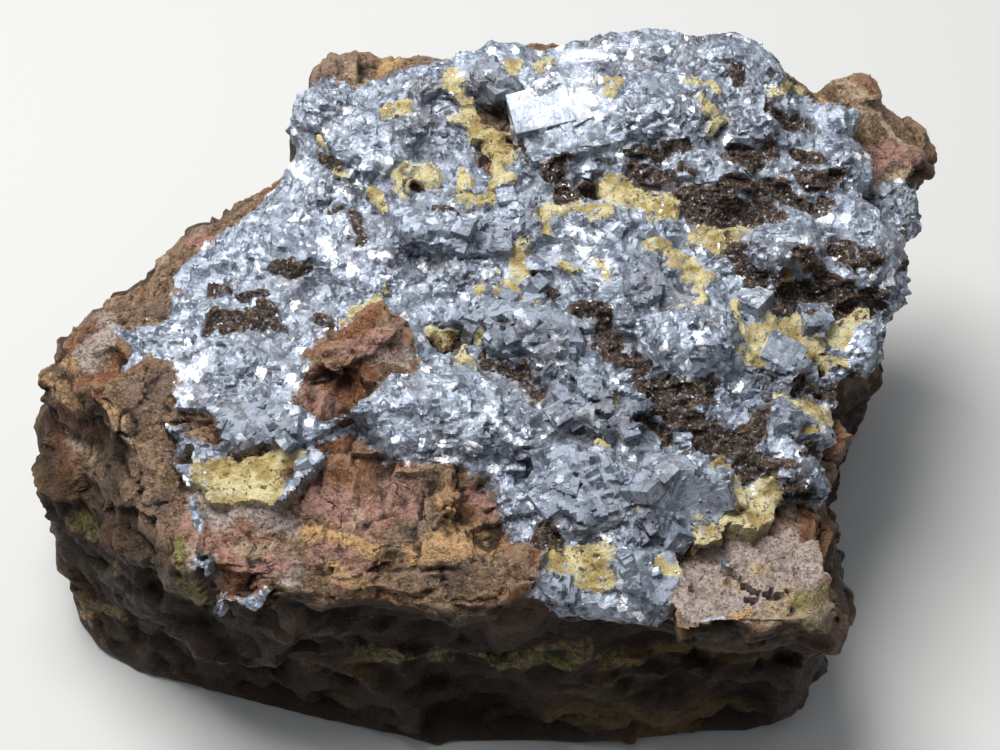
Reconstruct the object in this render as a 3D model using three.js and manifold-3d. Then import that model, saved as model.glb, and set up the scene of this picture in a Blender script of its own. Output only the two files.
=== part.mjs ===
// Galena specimen: a crust of galena nodules and cubes on a block of iron-stained host rock.
// Units are millimetres, +Z is up, and the specimen rests on a flat cut under it.

import * as THREE from 'three';
import { ConvexGeometry } from 'three/addons/geometries/ConvexGeometry.js';
import { SimplexNoise } from 'three/addons/math/SimplexNoise.js';
import { mergeVertices } from 'three/addons/utils/BufferGeometryUtils.js';
import Module from 'manifold-3d';

const wasm = await Module();
wasm.setup();

// ---- Driving dimensions ------------------------------------------------------------------

const ROCK_COLOUR = 0x5c4433;
const GALENA_COLOUR = 0x8d959e;

const SEED = 24;                                  // one seed for every random draw
const HEART = new THREE.Vector3(0, 0, 20);        // the point that the rock is wrapped around
const REACH = new THREE.Vector3(62, 42, 34);      // rough half sizes, which spread the facets evenly
const ROCK_DETAIL = 10;                           // subdivision of the wrapping ball
const WEAR = 0.45;                                // how far corners are worn to their neighbours' mean
const SCATTER = 0.055;                            // shift of the facets' corners, on a ball of radius 1
const FLOOR = -2;                                 // height of the flat cut that it rests on
const TRIM_DEPTH = 6;                             // how far the raw block runs below that cut
const ROOM = { width: 200, height: 100 };         // a box larger than the specimen

const SWELL = 0.6;                                // makes up for what the wear takes off
const ROUGH_BROAD = { size: 30, height: 1.6 };    // broad hollows and swells of the broken rock
const ROUGH_COARSE = { size: 13, height: 1.2 };   // knocks and scallops
const ROUGH_FINE = { size: 5.5, height: 0.55 };   // chips
const STRATA = { size: 22, step: 5, height: 0.8 }; // thin ledges that run round the sides

const SEAT_GAP = 0.45;                            // radial clearance between the crust and its bed
const CRUST_THICKNESS = 2.6;                      // mean, between the nodules
const CRUST_SWELL = { size: 7, height: 1.3 };
const BED_SLOPE = 0.1;                            // the bed rises towards the back
const BED_UNDERSIDE = 35;                         // lowest reach of the crust, at y = 0

// ---- Host rock: overlapping broken blocks, each the hull of its corners -------------------

const LOW = FLOOR - TRIM_DEPTH;

const ROCK_BLOCKS = {
  left_block: [
    [-55, -8, LOW], [-54, -21, LOW], [-38, -28.5, LOW], [-16, -33.8, LOW], [-16, 30, LOW], [-36, 20, LOW],
    [-50, 5, LOW], [-58.5, -3, 18], [-57.5, -13, 12], [-57.5, -12, 27], [-59.5, -3, 29], [-55, 1.5, 37],
    [-38, -22, 40.5], [-35, -39, 35], [-16, -39.5, 32], [-43, 9.5, 40.5], [-28, 20, 45.5], [-16, 20, 47],
  ],
  middle_block: [
    [-26, -32.5, LOW], [-10, -35.5, LOW], [10, -37.8, LOW], [28, -37.5, LOW], [42.5, -36.5, LOW],
    [43, -12, LOW], [46, 20, LOW], [40, 36, LOW], [0, 38, LOW], [-20, 34, LOW],
    [-22, -36.5, 11], [10, -40, 11], [36, -40, 11], [45, -38, 11], [-22, 38, 22], [44, 39, 20],
    [-30, -34, 23], [46, -37, 26], [-24, 33.5, 51], [-14, 35.5, 54.5], [5, 37, 58], [30, 37, 58],
    [44, 36, 51.5], [46, -14, 34], [38, -27, 33], [0, -31, 34], [-24, -31, 34],
  ],
  right_block: [
    [41, -12, LOW], [49, 4, LOW], [54, 26, LOW], [46, 38, LOW], [30, 30, LOW],
    [43.5, -12, 25], [50.5, 0, 28], [57, 14, 29], [60, 25, 32], [57, 15, 36], [49, -4, 36],
    [56, 26, 43], [44, 35, 50], [30, -8, 40],
  ],
  back_right_knob: [
    [47, 43, 47.5], [56, 43.5, 47.5], [62, 37, 43], [65.5, 30, 37], [63, 25, 31], [58, 39, 33],
    [46, 40, 35], [48, 26, 46], [57, 22, 44],
  ],
  front_ledge: [
    [-36, -40.5, 33.5], [-22, -43, 32.5], [-8, -43.5, 32.5], [4, -42, 33.5], [4, -38, 28], [-24, -37, 26],
    [-37, -37, 28], [-34, -26, 39], [-22, -24.5, 41], [-2, -24, 41], [3, -30, 39], [-8, -38, 36.5],
    [-28, -36.5, 38],
  ],
  front_right_block: [
    [23, -47, 33], [34, -47.5, 31.5], [44.5, -44, 30], [46, -41, 22], [30, -41, 24], [22, -40, 27],
    [23, -36, 38.5], [34, -33, 39], [43, -31, 36.5], [46, -39, 34], [24, -43, 36], [44, -28, 28],
    [26, -29, 30],
  ],
  front_shelf: [
    [2, -42, 33], [14, -43, 32.5], [24, -45, 32], [24, -37, 25], [2, -37, 25], [3, -31, 37],
    [24, -31, 37], [13, -33, 36.5],
  ],
  notch_block: [
    [-22, -13.5, 46.5], [-12, -7.5, 50.5], [-6, -13, 49], [-16, -19.5, 45], [-23, -14.5, 36],
    [-3, -12, 38], [-14, -22, 37], [-12, -4, 38],
  ],
  left_shoulder: [
    [-57, -9, 34], [-48, -17, 39], [-38, -22, 42.5], [-40, -10, 43.5], [-47, -2, 42], [-55, 0, 38.5],
    [-50, -6, 28], [-40, -18, 30],
  ],
};

// ---- Galena ------------------------------------------------------------------------------

// Plan outline of the crust, seen from above.
const CRUST_OUTLINE = [
  [-23, 29], [-14, 29.5], [-6, 31.5], [4, 33.5], [18, 34.5], [33, 34], [42, 31.5], [49, 26], [55, 19],
  [57, 10], [55, 2], [50, -3], [46, -10], [44, -18], [41, -24], [34, -29.5], [26, -33], [23, -37],
  [22, -43], [13, -42], [6, -41], [4, -33], [1, -25], [-8, -23], [-16, -21], [-23, -25], [-34, -27],
  [-36, -22], [-40, -12], [-46, -4], [-42, 2], [-36, 8], [-29, 14], [-25, 21],
];

// Nodules: centre x, y, height of the top, then half length, half width, half height and turn in degrees.
const NODULES = {
  back_ridge_left: [12, 25, 58, 8.5, 8.5, 7, 10],
  back_ridge_middle: [22, 25, 59, 10, 10.5, 8, -10],
  back_ridge_right: [34, 26, 57.5, 9, 9, 7, 20],
  back_left_block: [1, 27, 57, 4.6, 5.4, 6, 12],
  back_left_swell: [-13, 21, 54.5, 11, 8, 5.5, 10],
  left_corner_swell: [-20, 25, 53.5, 6, 5, 5, 0],
  lens_block: [-7, 7, 51, 7.4, 4, 5, -8],
  left_slope_upper: [-24, 7, 49, 11, 7, 5.5, 30],
  left_slope_lower: [-31, -2, 46, 10, 7, 5, 30],
  centre_swell: [4, 6, 50, 7.5, 8.5, 5, 0],
  brown_nodule_a: [28.5, 15, 53.5, 8.4, 6, 6.5, -10],
  brown_nodule_b: [43, 17, 51.5, 6.6, 6.6, 6.5, 0],
  right_nodule: [39.5, 7, 50, 6.8, 6.6, 7, 0],
  far_right_nodule: [49.5, 8, 48, 7.2, 9, 8, 10],
  scratched_dome: [18, 2.5, 50.5, 8.5, 8, 6.5, -20],
  fan_slab: [7.5, -5.5, 48, 7, 4.8, 5, -15],
  front_right_nodule: [27, -7.5, 48, 6.8, 6.8, 7, 0],
  front_right_foot: [30, -13, 43, 8.5, 6, 6, -20],
  front_nodule_left: [-8.5, -17.5, 46.5, 7.6, 5.4, 6.5, 8],
  front_nodule_right: [2, -17, 46, 7.6, 6.8, 7, -25],
  brown_shelf: [36.5, -19, 41.5, 7.5, 5.5, 6, -10],
  left_low_swell: [-31, -17, 43, 6.5, 6.5, 5, -20],
  left_mid_swell: [-30.5, -8, 46, 7.5, 5.5, 5, 0],
  front_apron: [13, -36.5, 38, 8, 4.5, 3, 0],
};

// Large single crystals: centre x, y, z, edge, then turns about x, y and z in degrees.
const LARGE_CUBES = [
  [17, -15.5, 40.5, 8.2, 38, 20, 15],
  [7.5, -29, 36.5, 6.4, 20, -15, 35],
  [13.6, -26.5, 36.8, 8.6, 12, 18, 20],
  [23, -28, 36.6, 8, -14, 20, 50],
  [28.5, -25, 37.4, 6, 30, 28, 10],
  [18, -34, 35, 6.2, 10, 30, 40],
  [9, 24.5, 55, 7.4, -25, 12, 10],
  [18, -23, 38, 6.4, 24, 14, 65],
  [43.5, -3.5, 40.5, 5.4, 15, 20, 30],
  [49, -4, 38.5, 5.6, 30, 5, 12],
  [37, -8, 41, 4.8, 20, 30, 60],
  [40, -17.5, 38, 6, 12, 24, 5],
];

const NODULE = { corners: 38, stray: 0.7, lumpiness: 0.2 };

// Small crystals, scattered where the galena lies above their lowest level.
const SMALL_CUBES = { count: 76, least: 2.4, most: 5, sunk: 0.22, lowest: 32 };

// Hollows that reach the rock: centre x, y, half length, half width and turn in degrees.
const HOLLOWS = [
  [-15, -14.5, 8.5, 5.2, 27], [-28.5, -25, 6, 3, 10], [12.5, -37.5, 3.4, 2.6, 0],
  [32, -28.5, 4.4, 3.6, -20], [41, -7, 5, 3, -15],
  [42, -14, 2.6, 2, 0], [1.5, 19, 3.2, 6, 0], [-8.6, 14.2, 2.6, 1.9, 0], [-4.5, -8, 3, 2, 0],
  [19, 11.3, 7.5, 2, -6], [33, 7.6, 3, 2, 10], [26, 1.5, 3, 3.4, 0],
];

const WELL = { mouth: 1.3, foot: 0.7, sides: 7 };   // radii in parts of the half sizes

// ---- Helpers -----------------------------------------------------------------------------

THREE.MathUtils.seededRandom(SEED);
const random = () => THREE.MathUtils.seededRandom();
const noise = new SimplexNoise({ random });

function vectors(points) {
  return points.map((point) => new THREE.Vector3(...point));
}

// A closed three.js geometry as a manifold solid.
function solidOf(geometry) {
  const bare = geometry.clone();
  bare.deleteAttribute('normal');
  bare.deleteAttribute('uv');
  const merged = mergeVertices(bare, 1e-4);
  return new wasm.Manifold(new wasm.Mesh({
    numProp: 3,
    vertProperties: new Float32Array(merged.attributes.position.array),
    triVerts: new Uint32Array(merged.index.array),
  }));
}

function geometryOf(solid) {
  const mesh = solid.getMesh();
  const geometry = new THREE.BufferGeometry();
  geometry.setAttribute('position', new THREE.BufferAttribute(mesh.vertProperties, 3));
  geometry.setIndex(new THREE.BufferAttribute(mesh.triVerts, 1));
  geometry.computeVertexNormals();
  return geometry;
}

function placed(geometry, position, turns = [0, 0, 0]) {
  const euler = new THREE.Euler(...turns.map(THREE.MathUtils.degToRad));
  const matrix = new THREE.Matrix4().makeRotationFromEuler(euler).setPosition(...position);
  return geometry.applyMatrix4(matrix);
}

// ---- Host rock ---------------------------------------------------------------------------

const rockBlocks = Object.values(ROCK_BLOCKS).map((corners) => {
  const material = new THREE.MeshBasicMaterial({ side: THREE.DoubleSide });
  return new THREE.Mesh(new ConvexGeometry(vectors(corners)), material);
});

const raycaster = new THREE.Raycaster();

// Small shifts that keep the facets from lying in rows.
const scatter = Array.from({ length: 10 * (ROCK_DETAIL + 1) ** 2 + 2 }, () => new THREE.Vector3(
  (random() - 0.5) * SCATTER, (random() - 0.5) * SCATTER, (random() - 0.5) * SCATTER,
));

// How far the outermost block reaches from the heart in one direction.
function rockReach(direction) {
  raycaster.set(HEART, direction);
  const hits = raycaster.intersectObjects(rockBlocks, false);
  return hits[hits.length - 1].distance;
}

// Roughness of the broken rock at a point, outwards in millimetres.
function roughness(point) {
  const { x, y, z } = point;
  const broad = noise.noise3d(x / ROUGH_BROAD.size, y / ROUGH_BROAD.size, z / ROUGH_BROAD.size);
  const coarse = noise.noise3d(x / ROUGH_COARSE.size, y / ROUGH_COARSE.size, z / ROUGH_COARSE.size);
  const fine = noise.noise3d(x / ROUGH_FINE.size, y / ROUGH_FINE.size, z / ROUGH_FINE.size);
  const strata = noise.noise3d(x / STRATA.size + 7, y / STRATA.size, z / STRATA.step);
  const knocks = broad * ROUGH_BROAD.height + coarse * ROUGH_COARSE.height + fine * ROUGH_FINE.height;
  return SWELL + knocks + strata * STRATA.height;
}

// Each corner's value moved part of the way to the mean of its neighbours, which wears sharp steps.
function worn(values, index) {
  const sums = new Array(values.length).fill(0);
  const counts = new Array(values.length).fill(0);
  for (let i = 0; i < index.count; i += 3) {
    for (let side = 0; side < 3; side++) {
      const here = index.getX(i + side);
      const next = index.getX(i + ((side + 1) % 3));
      sums[here] += values[next];
      counts[here] += 1;
    }
  }
  return values.map((value, i) => THREE.MathUtils.lerp(value, sums[i] / counts[i], WEAR));
}

// A ball wrapped onto the blocks, then roughened: the rock's skin, or a skin outside it by extra(point).
function rockSkin(extra) {
  const ball = new THREE.IcosahedronGeometry(1, ROCK_DETAIL);
  ball.deleteAttribute('normal');
  ball.deleteAttribute('uv');
  const skin = mergeVertices(ball, 1e-4);
  const position = skin.attributes.position;
  const directions = Array.from({ length: position.count }, (_, i) => new THREE.Vector3()
    .fromBufferAttribute(position, i).add(scatter[i]).multiply(REACH).normalize());
  const reaches = worn(directions.map(rockReach), skin.index);
  directions.forEach((direction, i) => {
    const onBlock = direction.clone().multiplyScalar(reaches[i]).add(HEART);
    const far = reaches[i] + roughness(onBlock) + extra(onBlock);
    const point = direction.multiplyScalar(far).add(HEART);
    position.setXYZ(i, point.x, point.y, point.z);
  });
  return skin;
}

function aboveFloor(solid) {
  const room = new THREE.BoxGeometry(ROOM.width, ROOM.width, ROOM.height);
  room.translate(0, 0, FLOOR + ROOM.height / 2);
  return solid.intersect(solidOf(room));
}

function hostRock() {
  return aboveFloor(solidOf(rockSkin(() => 0)));
}

// ---- Galena crust ------------------------------------------------------------------------

// The thin crust that joins the nodules: the rock's skin grown thicker, inside the plan outline.
function crustSheet() {
  const outline = new THREE.Shape(CRUST_OUTLINE.map(([x, y]) => new THREE.Vector2(x, y)));
  const prism = new THREE.ExtrudeGeometry(outline, { depth: ROOM.height, bevelEnabled: false });
  prism.applyMatrix4(new THREE.Matrix4().makeShear(0, 0, 0, BED_SLOPE, 0, 0));
  prism.translate(0, 0, BED_UNDERSIDE);
  const grown = rockSkin((point) => {
    const [x, y, z] = point.toArray().map((value) => value / CRUST_SWELL.size);
    return CRUST_THICKNESS + noise.noise3d(x, y, z) * CRUST_SWELL.height;
  });
  return solidOf(grown).intersect(solidOf(prism));
}

// A faceted nodule: the hull of points spread over an ellipsoid.
function nodule([x, y, top, halfLength, halfWidth, halfHeight, turn]) {
  const golden = Math.PI * (3 - Math.sqrt(5));
  const points = [];
  for (let i = 0; i < NODULE.corners; i++) {
    const up = 1 - (2 * (i + 0.5)) / NODULE.corners;
    const around = i * golden + (random() - 0.5) * NODULE.stray;
    const ring = Math.sqrt(1 - up * up);
    const swell = 1 + (random() - 0.5) * NODULE.lumpiness;
    points.push(new THREE.Vector3(
      Math.cos(around) * ring * halfLength * swell,
      Math.sin(around) * ring * halfWidth * swell,
      up * halfHeight * swell,
    ));
  }
  return solidOf(placed(new ConvexGeometry(points), [x, y, top - halfHeight], [0, 0, turn]));
}

function cube([x, y, z, edge, ...turns]) {
  return solidOf(placed(new THREE.BoxGeometry(edge, edge, edge), [x, y, z], turns));
}

// Height of a mesh's top at a plan position, or the floor where the position misses it.
function topOf(mesh, x, y) {
  raycaster.set(new THREE.Vector3(x, y, ROOM.height), new THREE.Vector3(0, 0, -1));
  const hits = raycaster.intersectObject(mesh, false);
  return hits.length ? hits[0].point.z : FLOOR;
}

function smallCubes(mass) {
  const mesh = new THREE.Mesh(geometryOf(mass), new THREE.MeshBasicMaterial());
  const { min, max } = new THREE.Box3().setFromObject(mesh);
  const cubes = [];
  while (cubes.length < SMALL_CUBES.count) {
    const x = THREE.MathUtils.lerp(min.x, max.x, random());
    const y = THREE.MathUtils.lerp(min.y, max.y, random());
    const top = topOf(mesh, x, y);
    const edge = THREE.MathUtils.lerp(SMALL_CUBES.least, SMALL_CUBES.most, random() ** 2);
    const turns = [random() * 90, random() * 90, random() * 90];
    if (top > SMALL_CUBES.lowest) {
      cubes.push(cube([x, y, top - edge * SMALL_CUBES.sunk, edge, ...turns]));
    }
  }
  return cubes;
}

// A well through the crust, with sides that open upwards.
function hollow([x, y, halfLength, halfWidth, turn]) {
  const well = new THREE.CylinderGeometry(WELL.mouth, WELL.foot, ROOM.height, WELL.sides);
  well.rotateX(Math.PI / 2);
  well.scale(halfLength, halfWidth, 1);
  return solidOf(placed(well, [x, y, ROOM.height / 2], [0, 0, turn]));
}

function galenaCrust() {
  const { union } = wasm.Manifold;
  const mass = union([crustSheet(), ...Object.values(NODULES).map(nodule), ...LARGE_CUBES.map(cube)]);
  const grown = union([mass, ...smallCubes(mass)]);
  const opened = grown.subtract(union(HOLLOWS.map(hollow)));
  const seated = opened.subtract(solidOf(rockSkin(() => SEAT_GAP)));
  const bodies = seated.decompose();
  bodies.sort((a, b) => b.volume() - a.volume());
  return bodies[0];
}

// ---- The specimen ------------------------------------------------------------------------

function mineral(name, solid, colour, roughness, metalness) {
  const material = new THREE.MeshStandardMaterial({ color: colour, roughness, metalness });
  const mesh = new THREE.Mesh(geometryOf(solid), material);
  mesh.name = name;
  return mesh;
}

const specimen = new THREE.Group();
specimen.add(mineral('host_rock', hostRock(), ROCK_COLOUR, 0.9, 0));
specimen.add(mineral('galena_crust', galenaCrust(), GALENA_COLOUR, 0.35, 0.8));

// The origin is under the middle of the specimen, on the surface that it rests on.
const bounds = new THREE.Box3().setFromObject(specimen);
const middle = bounds.getCenter(new THREE.Vector3());
specimen.position.set(-middle.x, -middle.y, -FLOOR);
specimen.updateMatrixWorld(true);

export default specimen;
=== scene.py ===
"""Galena on limonite: a cabinet specimen, shaped and finished around its fixed CAD frame.

Lengths in this file are millimetres unless a property says otherwise; meshes are written in metres.
"""

import itertools
import math
import random

import bmesh
import bpy
import numpy as np
from bpy.props import FloatProperty, FloatVectorProperty, IntProperty, PointerProperty
from mathutils import Euler, Matrix, Vector
from mathutils.bvhtree import BVHTree


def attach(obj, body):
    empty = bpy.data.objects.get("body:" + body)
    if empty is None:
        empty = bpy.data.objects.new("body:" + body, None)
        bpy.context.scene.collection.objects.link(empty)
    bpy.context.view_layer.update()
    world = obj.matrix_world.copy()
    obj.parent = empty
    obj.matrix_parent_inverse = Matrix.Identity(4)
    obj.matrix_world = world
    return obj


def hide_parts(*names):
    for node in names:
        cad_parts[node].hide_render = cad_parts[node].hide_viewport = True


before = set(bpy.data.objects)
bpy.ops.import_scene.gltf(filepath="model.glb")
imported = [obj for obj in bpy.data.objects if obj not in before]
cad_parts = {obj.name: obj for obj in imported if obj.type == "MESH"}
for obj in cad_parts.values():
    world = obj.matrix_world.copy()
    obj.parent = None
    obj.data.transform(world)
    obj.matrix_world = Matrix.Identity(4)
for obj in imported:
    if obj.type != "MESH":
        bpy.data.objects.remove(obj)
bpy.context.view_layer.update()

bl_info = {
    "name": "Galena Specimen",
    "version": (1, 0, 0),
    "blender": (4, 5, 0),
    "location": "View3D > Sidebar > Specimen",
    "description": "Shapes and finishes a galena crust on its limonite host rock",
    "category": "Object",
}

MM = 0.001
BODY = "root"

# ---- Forms of the specimen: centre, half widths, and any turns about x, y and z in degrees --------

# Rounded galena lumps.
GALENA_LUMPS = {
    "front_nodule": ((-6.5, -15.3, 43), (12.8, 7.6, 6.6), (0, 0, -8)),
    "front_nodule_end": ((3.5, -17.5, 43), (4.4, 4.4, 4.2)),
    "dome": ((16.5, 2.5, 47), (9, 7.6, 6.2), (0, 10, -20)),
    "below_dome": ((25.5, -6, 46), (7.2, 6.2, 5.6), (0, 15, 0)),
    "fan": ((5, -4, 47), (7.2, 4.6, 3.4), (-15, 0, -8)),
    "fan_foot": ((8.5, -9, 46), (4.6, 3, 2.6), (0, 0, -20)),
    "right_nodule": ((37.5, 8, 49), (6.4, 5.6, 4.8)),
    "right_nodule_far": ((46, 14, 46.5), (6.6, 4.6, 4.4), (0, 20, 0)),
    "right_nodule_low": ((46, 7, 45.5), (6.4, 4.6, 4.2), (0, 20, 0)),
    "red_nodule": ((46, 22, 49.5), (5.6, 4.4, 4), (0, 15, 0)),
    "high_right_a": ((34.5, 25, 56), (3, 4.6, 3.6), (0, 0, 10)),
    "high_right_b": ((39, 24, 52.5), (3.2, 3, 3)),
    "high_right_c": ((46, 29, 51), (3.8, 3, 3), (0, 20, 0)),
    "far_right": ((53.5, 21, 41.5), (3.6, 5.4, 4.6), (0, 30, 0)),
    "lens": ((-8, 8.5, 52), (6, 4, 3.2), (0, 0, -14)),
    "round_left": ((-4, 3.5, 49), (3.2, 3.8, 3)),
    "round_middle": ((3.5, 12, 51), (3, 2.8, 2.6)),
    "ridge_low": ((20.5, 24, 57), (8.6, 5.4, 4.6), (0, 0, 8)),
    "ridge_left": ((14, 19.5, 53.5), (6, 3.6, 3.2)),
    "folds": ((27, 16.5, 53), (7.6, 4.4, 3.6), (0, 0, -12)),
    "folds_right": ((36.5, 20, 51), (4.4, 4, 3.2)),
    "shelf_back": ((24.5, -12, 41.5), (6, 4.4, 4.2), (0, 0, -12)),
    "shelf": ((31, -16, 40.5), (6, 4, 3.6), (0, 0, -16)),
    "shelf_knob": ((36, -21, 39.5), (4.6, 3.8, 3.8)),
    "shelf_left": ((23, -17, 40.5), (3.6, 2.4, 2.2)),
    "cluster": ((12, -23, 41), (6.4, 5, 4.2), (0, 0, -10)),
    "cluster_front": ((11, -28.5, 39.5), (5.6, 3.6, 3.6)),
    "cluster_right": ((22.5, -27, 41.5), (6, 5, 3.8)),
    "lip": ((18, -36, 37), (5, 3.2, 3)),
    "lip_left": ((7.5, -36, 37.5), (3, 3, 2.8)),
    "slope_high": ((-18.5, 8, 48.5), (7, 3.6, 3), (0, 0, -10)),
    "slope_low": ((-33, -8.5, 44.5), (6.4, 5, 3.4), (0, 0, 10)),
    "high_left": ((-16, 21, 53.5), (6, 5, 3.6)),
    "high_left_edge": ((-22, 28.5, 53.5), (4.4, 5, 3.6)),
    "back_ridge": ((21, 34.5, 57), (9, 4.6, 4)),
    "back_ridge_right": ((33, 33, 56.5), (7, 5, 4.2), (0, 20, -20)),
    "slope_middle": ((-28.5, 2, 45.5), (6.4, 3.6, 2.8)),
    "low_middle": ((-3, -0.5, 47), (3.6, 3.2, 2.8)),
    "between": ((26.5, 1, 46.5), (3.6, 4, 2.8)),
    "between_right": ((30, 6, 48), (3, 3.4, 2.4)),
}
# Galena crystals large enough to be forms of their own; full widths.
GALENA_BLOCKS = {
    "white_block": ((9.5, 21.8, 55.2), (13, 9, 7.4), (16, -6, 14)),
    "back_block": ((-1, 29.5, 56.5), (6.4, 6.4, 6.4), (-20, 12, 6)),
    "below_fan": ((14, -14, 44), (8.4, 6.4, 6), (24, 16, -20)),
    "cube_right": ((36.5, -7, 43), (5.6, 4.6, 4.4), (10, 14, -24)),
    "slab_right": ((40.5, -1, 42), (4.6, 4.4, 4.2), (-6, 10, 12)),
    "far_crystal": ((48, -1.5, 42.5), (3, 5.4, 3.6), (0, 20, -30)),
    "cluster_plate": ((27, -22.5, 38), (6.6, 6.6, 4.6), (10, 24, 20)),
    "low_crystal": ((37.5, -16.5, 42), (5, 4.2, 4), (10, 20, 14)),
    "left_of_valley": ((34, 0, 45), (5.4, 5, 4.2), (0, -10, -38)),
}
# Single crystals set on the crust or in its gaps; full widths.
SINGLE_CRYSTALS = {
    "white_face": ((6.2, 23.6, 57.3), (8, 6, 5), (17, -7, 12)),
    "white_face_end": ((10, 22.9, 57.2), (4.6, 4, 4.6), (15, -9, 30)),
    "cluster_left": ((7, -27, 41.5), (4.4, 4, 4), (20, -15, 35)),
    "cluster_right": ((26, -24.5, 41), (5.4, 5, 4), (-14, 20, 50)),
    "valley_left": ((33, 0.5, 46.5), (4.6, 3.6, 3.4), (0, -10, -38)),
    "valley_middle": ((36.5, -6.5, 44.5), (5, 4, 3.6), (20, 14, -24)),
    "nodule_gap": ((2.3, -21.5, 40.6), (3.4, 3, 3), (0, 0, 0)),
    "valley_right": ((41, -0.5, 44), (4, 3.6, 3.6), (-6, 10, 12)),
}
# Lumps and knobs of the host rock.
ROCK_LUMPS = {
    "scroll": ((-5.5, -27.5, 41), (3.1, 2.9, 3.4), (0, 0, -6)),
    "ledge_top": ((-8, -24, 40), (7.6, 4.2, 3.4)),
    "ledge_wall": ((-12.5, -22.5, 36.5), (12.5, 6, 4), (0, 0, -6)),
    "ledge_lobe": ((-17.5, -31, 38.5), (7, 4, 3.6), (0, 0, -16)),
    "ledge_lobe_low": ((-17, -35.5, 36.5), (3.4, 2.4, 2.4), (0, 0, 10)),
    "ledge_orange": ((-6, -33.5, 38), (5.2, 3.2, 3), (0, 0, 8)),
    "ledge_end": ((3.5, -34.5, 37.5), (3, 3.6, 3.4)),
    "ledge_left": ((-34, -32, 37), (4.6, 4, 3.6)),
    "wedge": ((-30.5, -37, 33.5), (6.2, 2.6, 2), (0, 12, -6)),
    "left_spur": ((-47, -16, 40.5), (2.6, 2.4, 3.6), (20, 0, 0)),
    "green_spur": ((-38.5, -33.5, 36.5), (1.8, 2, 4.4), (20, 0, 0)),
    "far_left": ((-57.5, -4.5, 35.5), (3.4, 4, 4.6)),
    "shoulder": ((-50, -1.5, 41), (7, 5, 3.6), (0, 0, 20)),
    "shoulder_low": ((-47, -11.5, 42), (6, 4.4, 4)),
    "right_pit": ((42.5, -3.5, 38.5), (3.4, 3.2, 3.2)),
    "rim_back": ((-18, 34.5, 53.5), (7, 3.6, 3), (0, 0, 10)),
    "knob_low": ((56, 29.5, 42.5), (4.6, 4.6, 4.6)),
    "knob_top": ((49, 38, 46.5), (5, 4, 4)),
}
# Squared blocks of the host rock; full widths.
ROCK_BLOCKS = {
    "notch": ((-16.5, -9, 47), (11.5, 7.6, 9), (-8, -14, 28)),
    "right_block": ((31.2, -35.6, 34), (19.5, 13, 8.4), (5, 0, 3)),
    "notch_side": ((-20, -13.5, 41.5), (8, 7, 9), (20, -22, 34)),
}

# ---- Places on the surface: radius, and the points of a path --------------------------------

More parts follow.
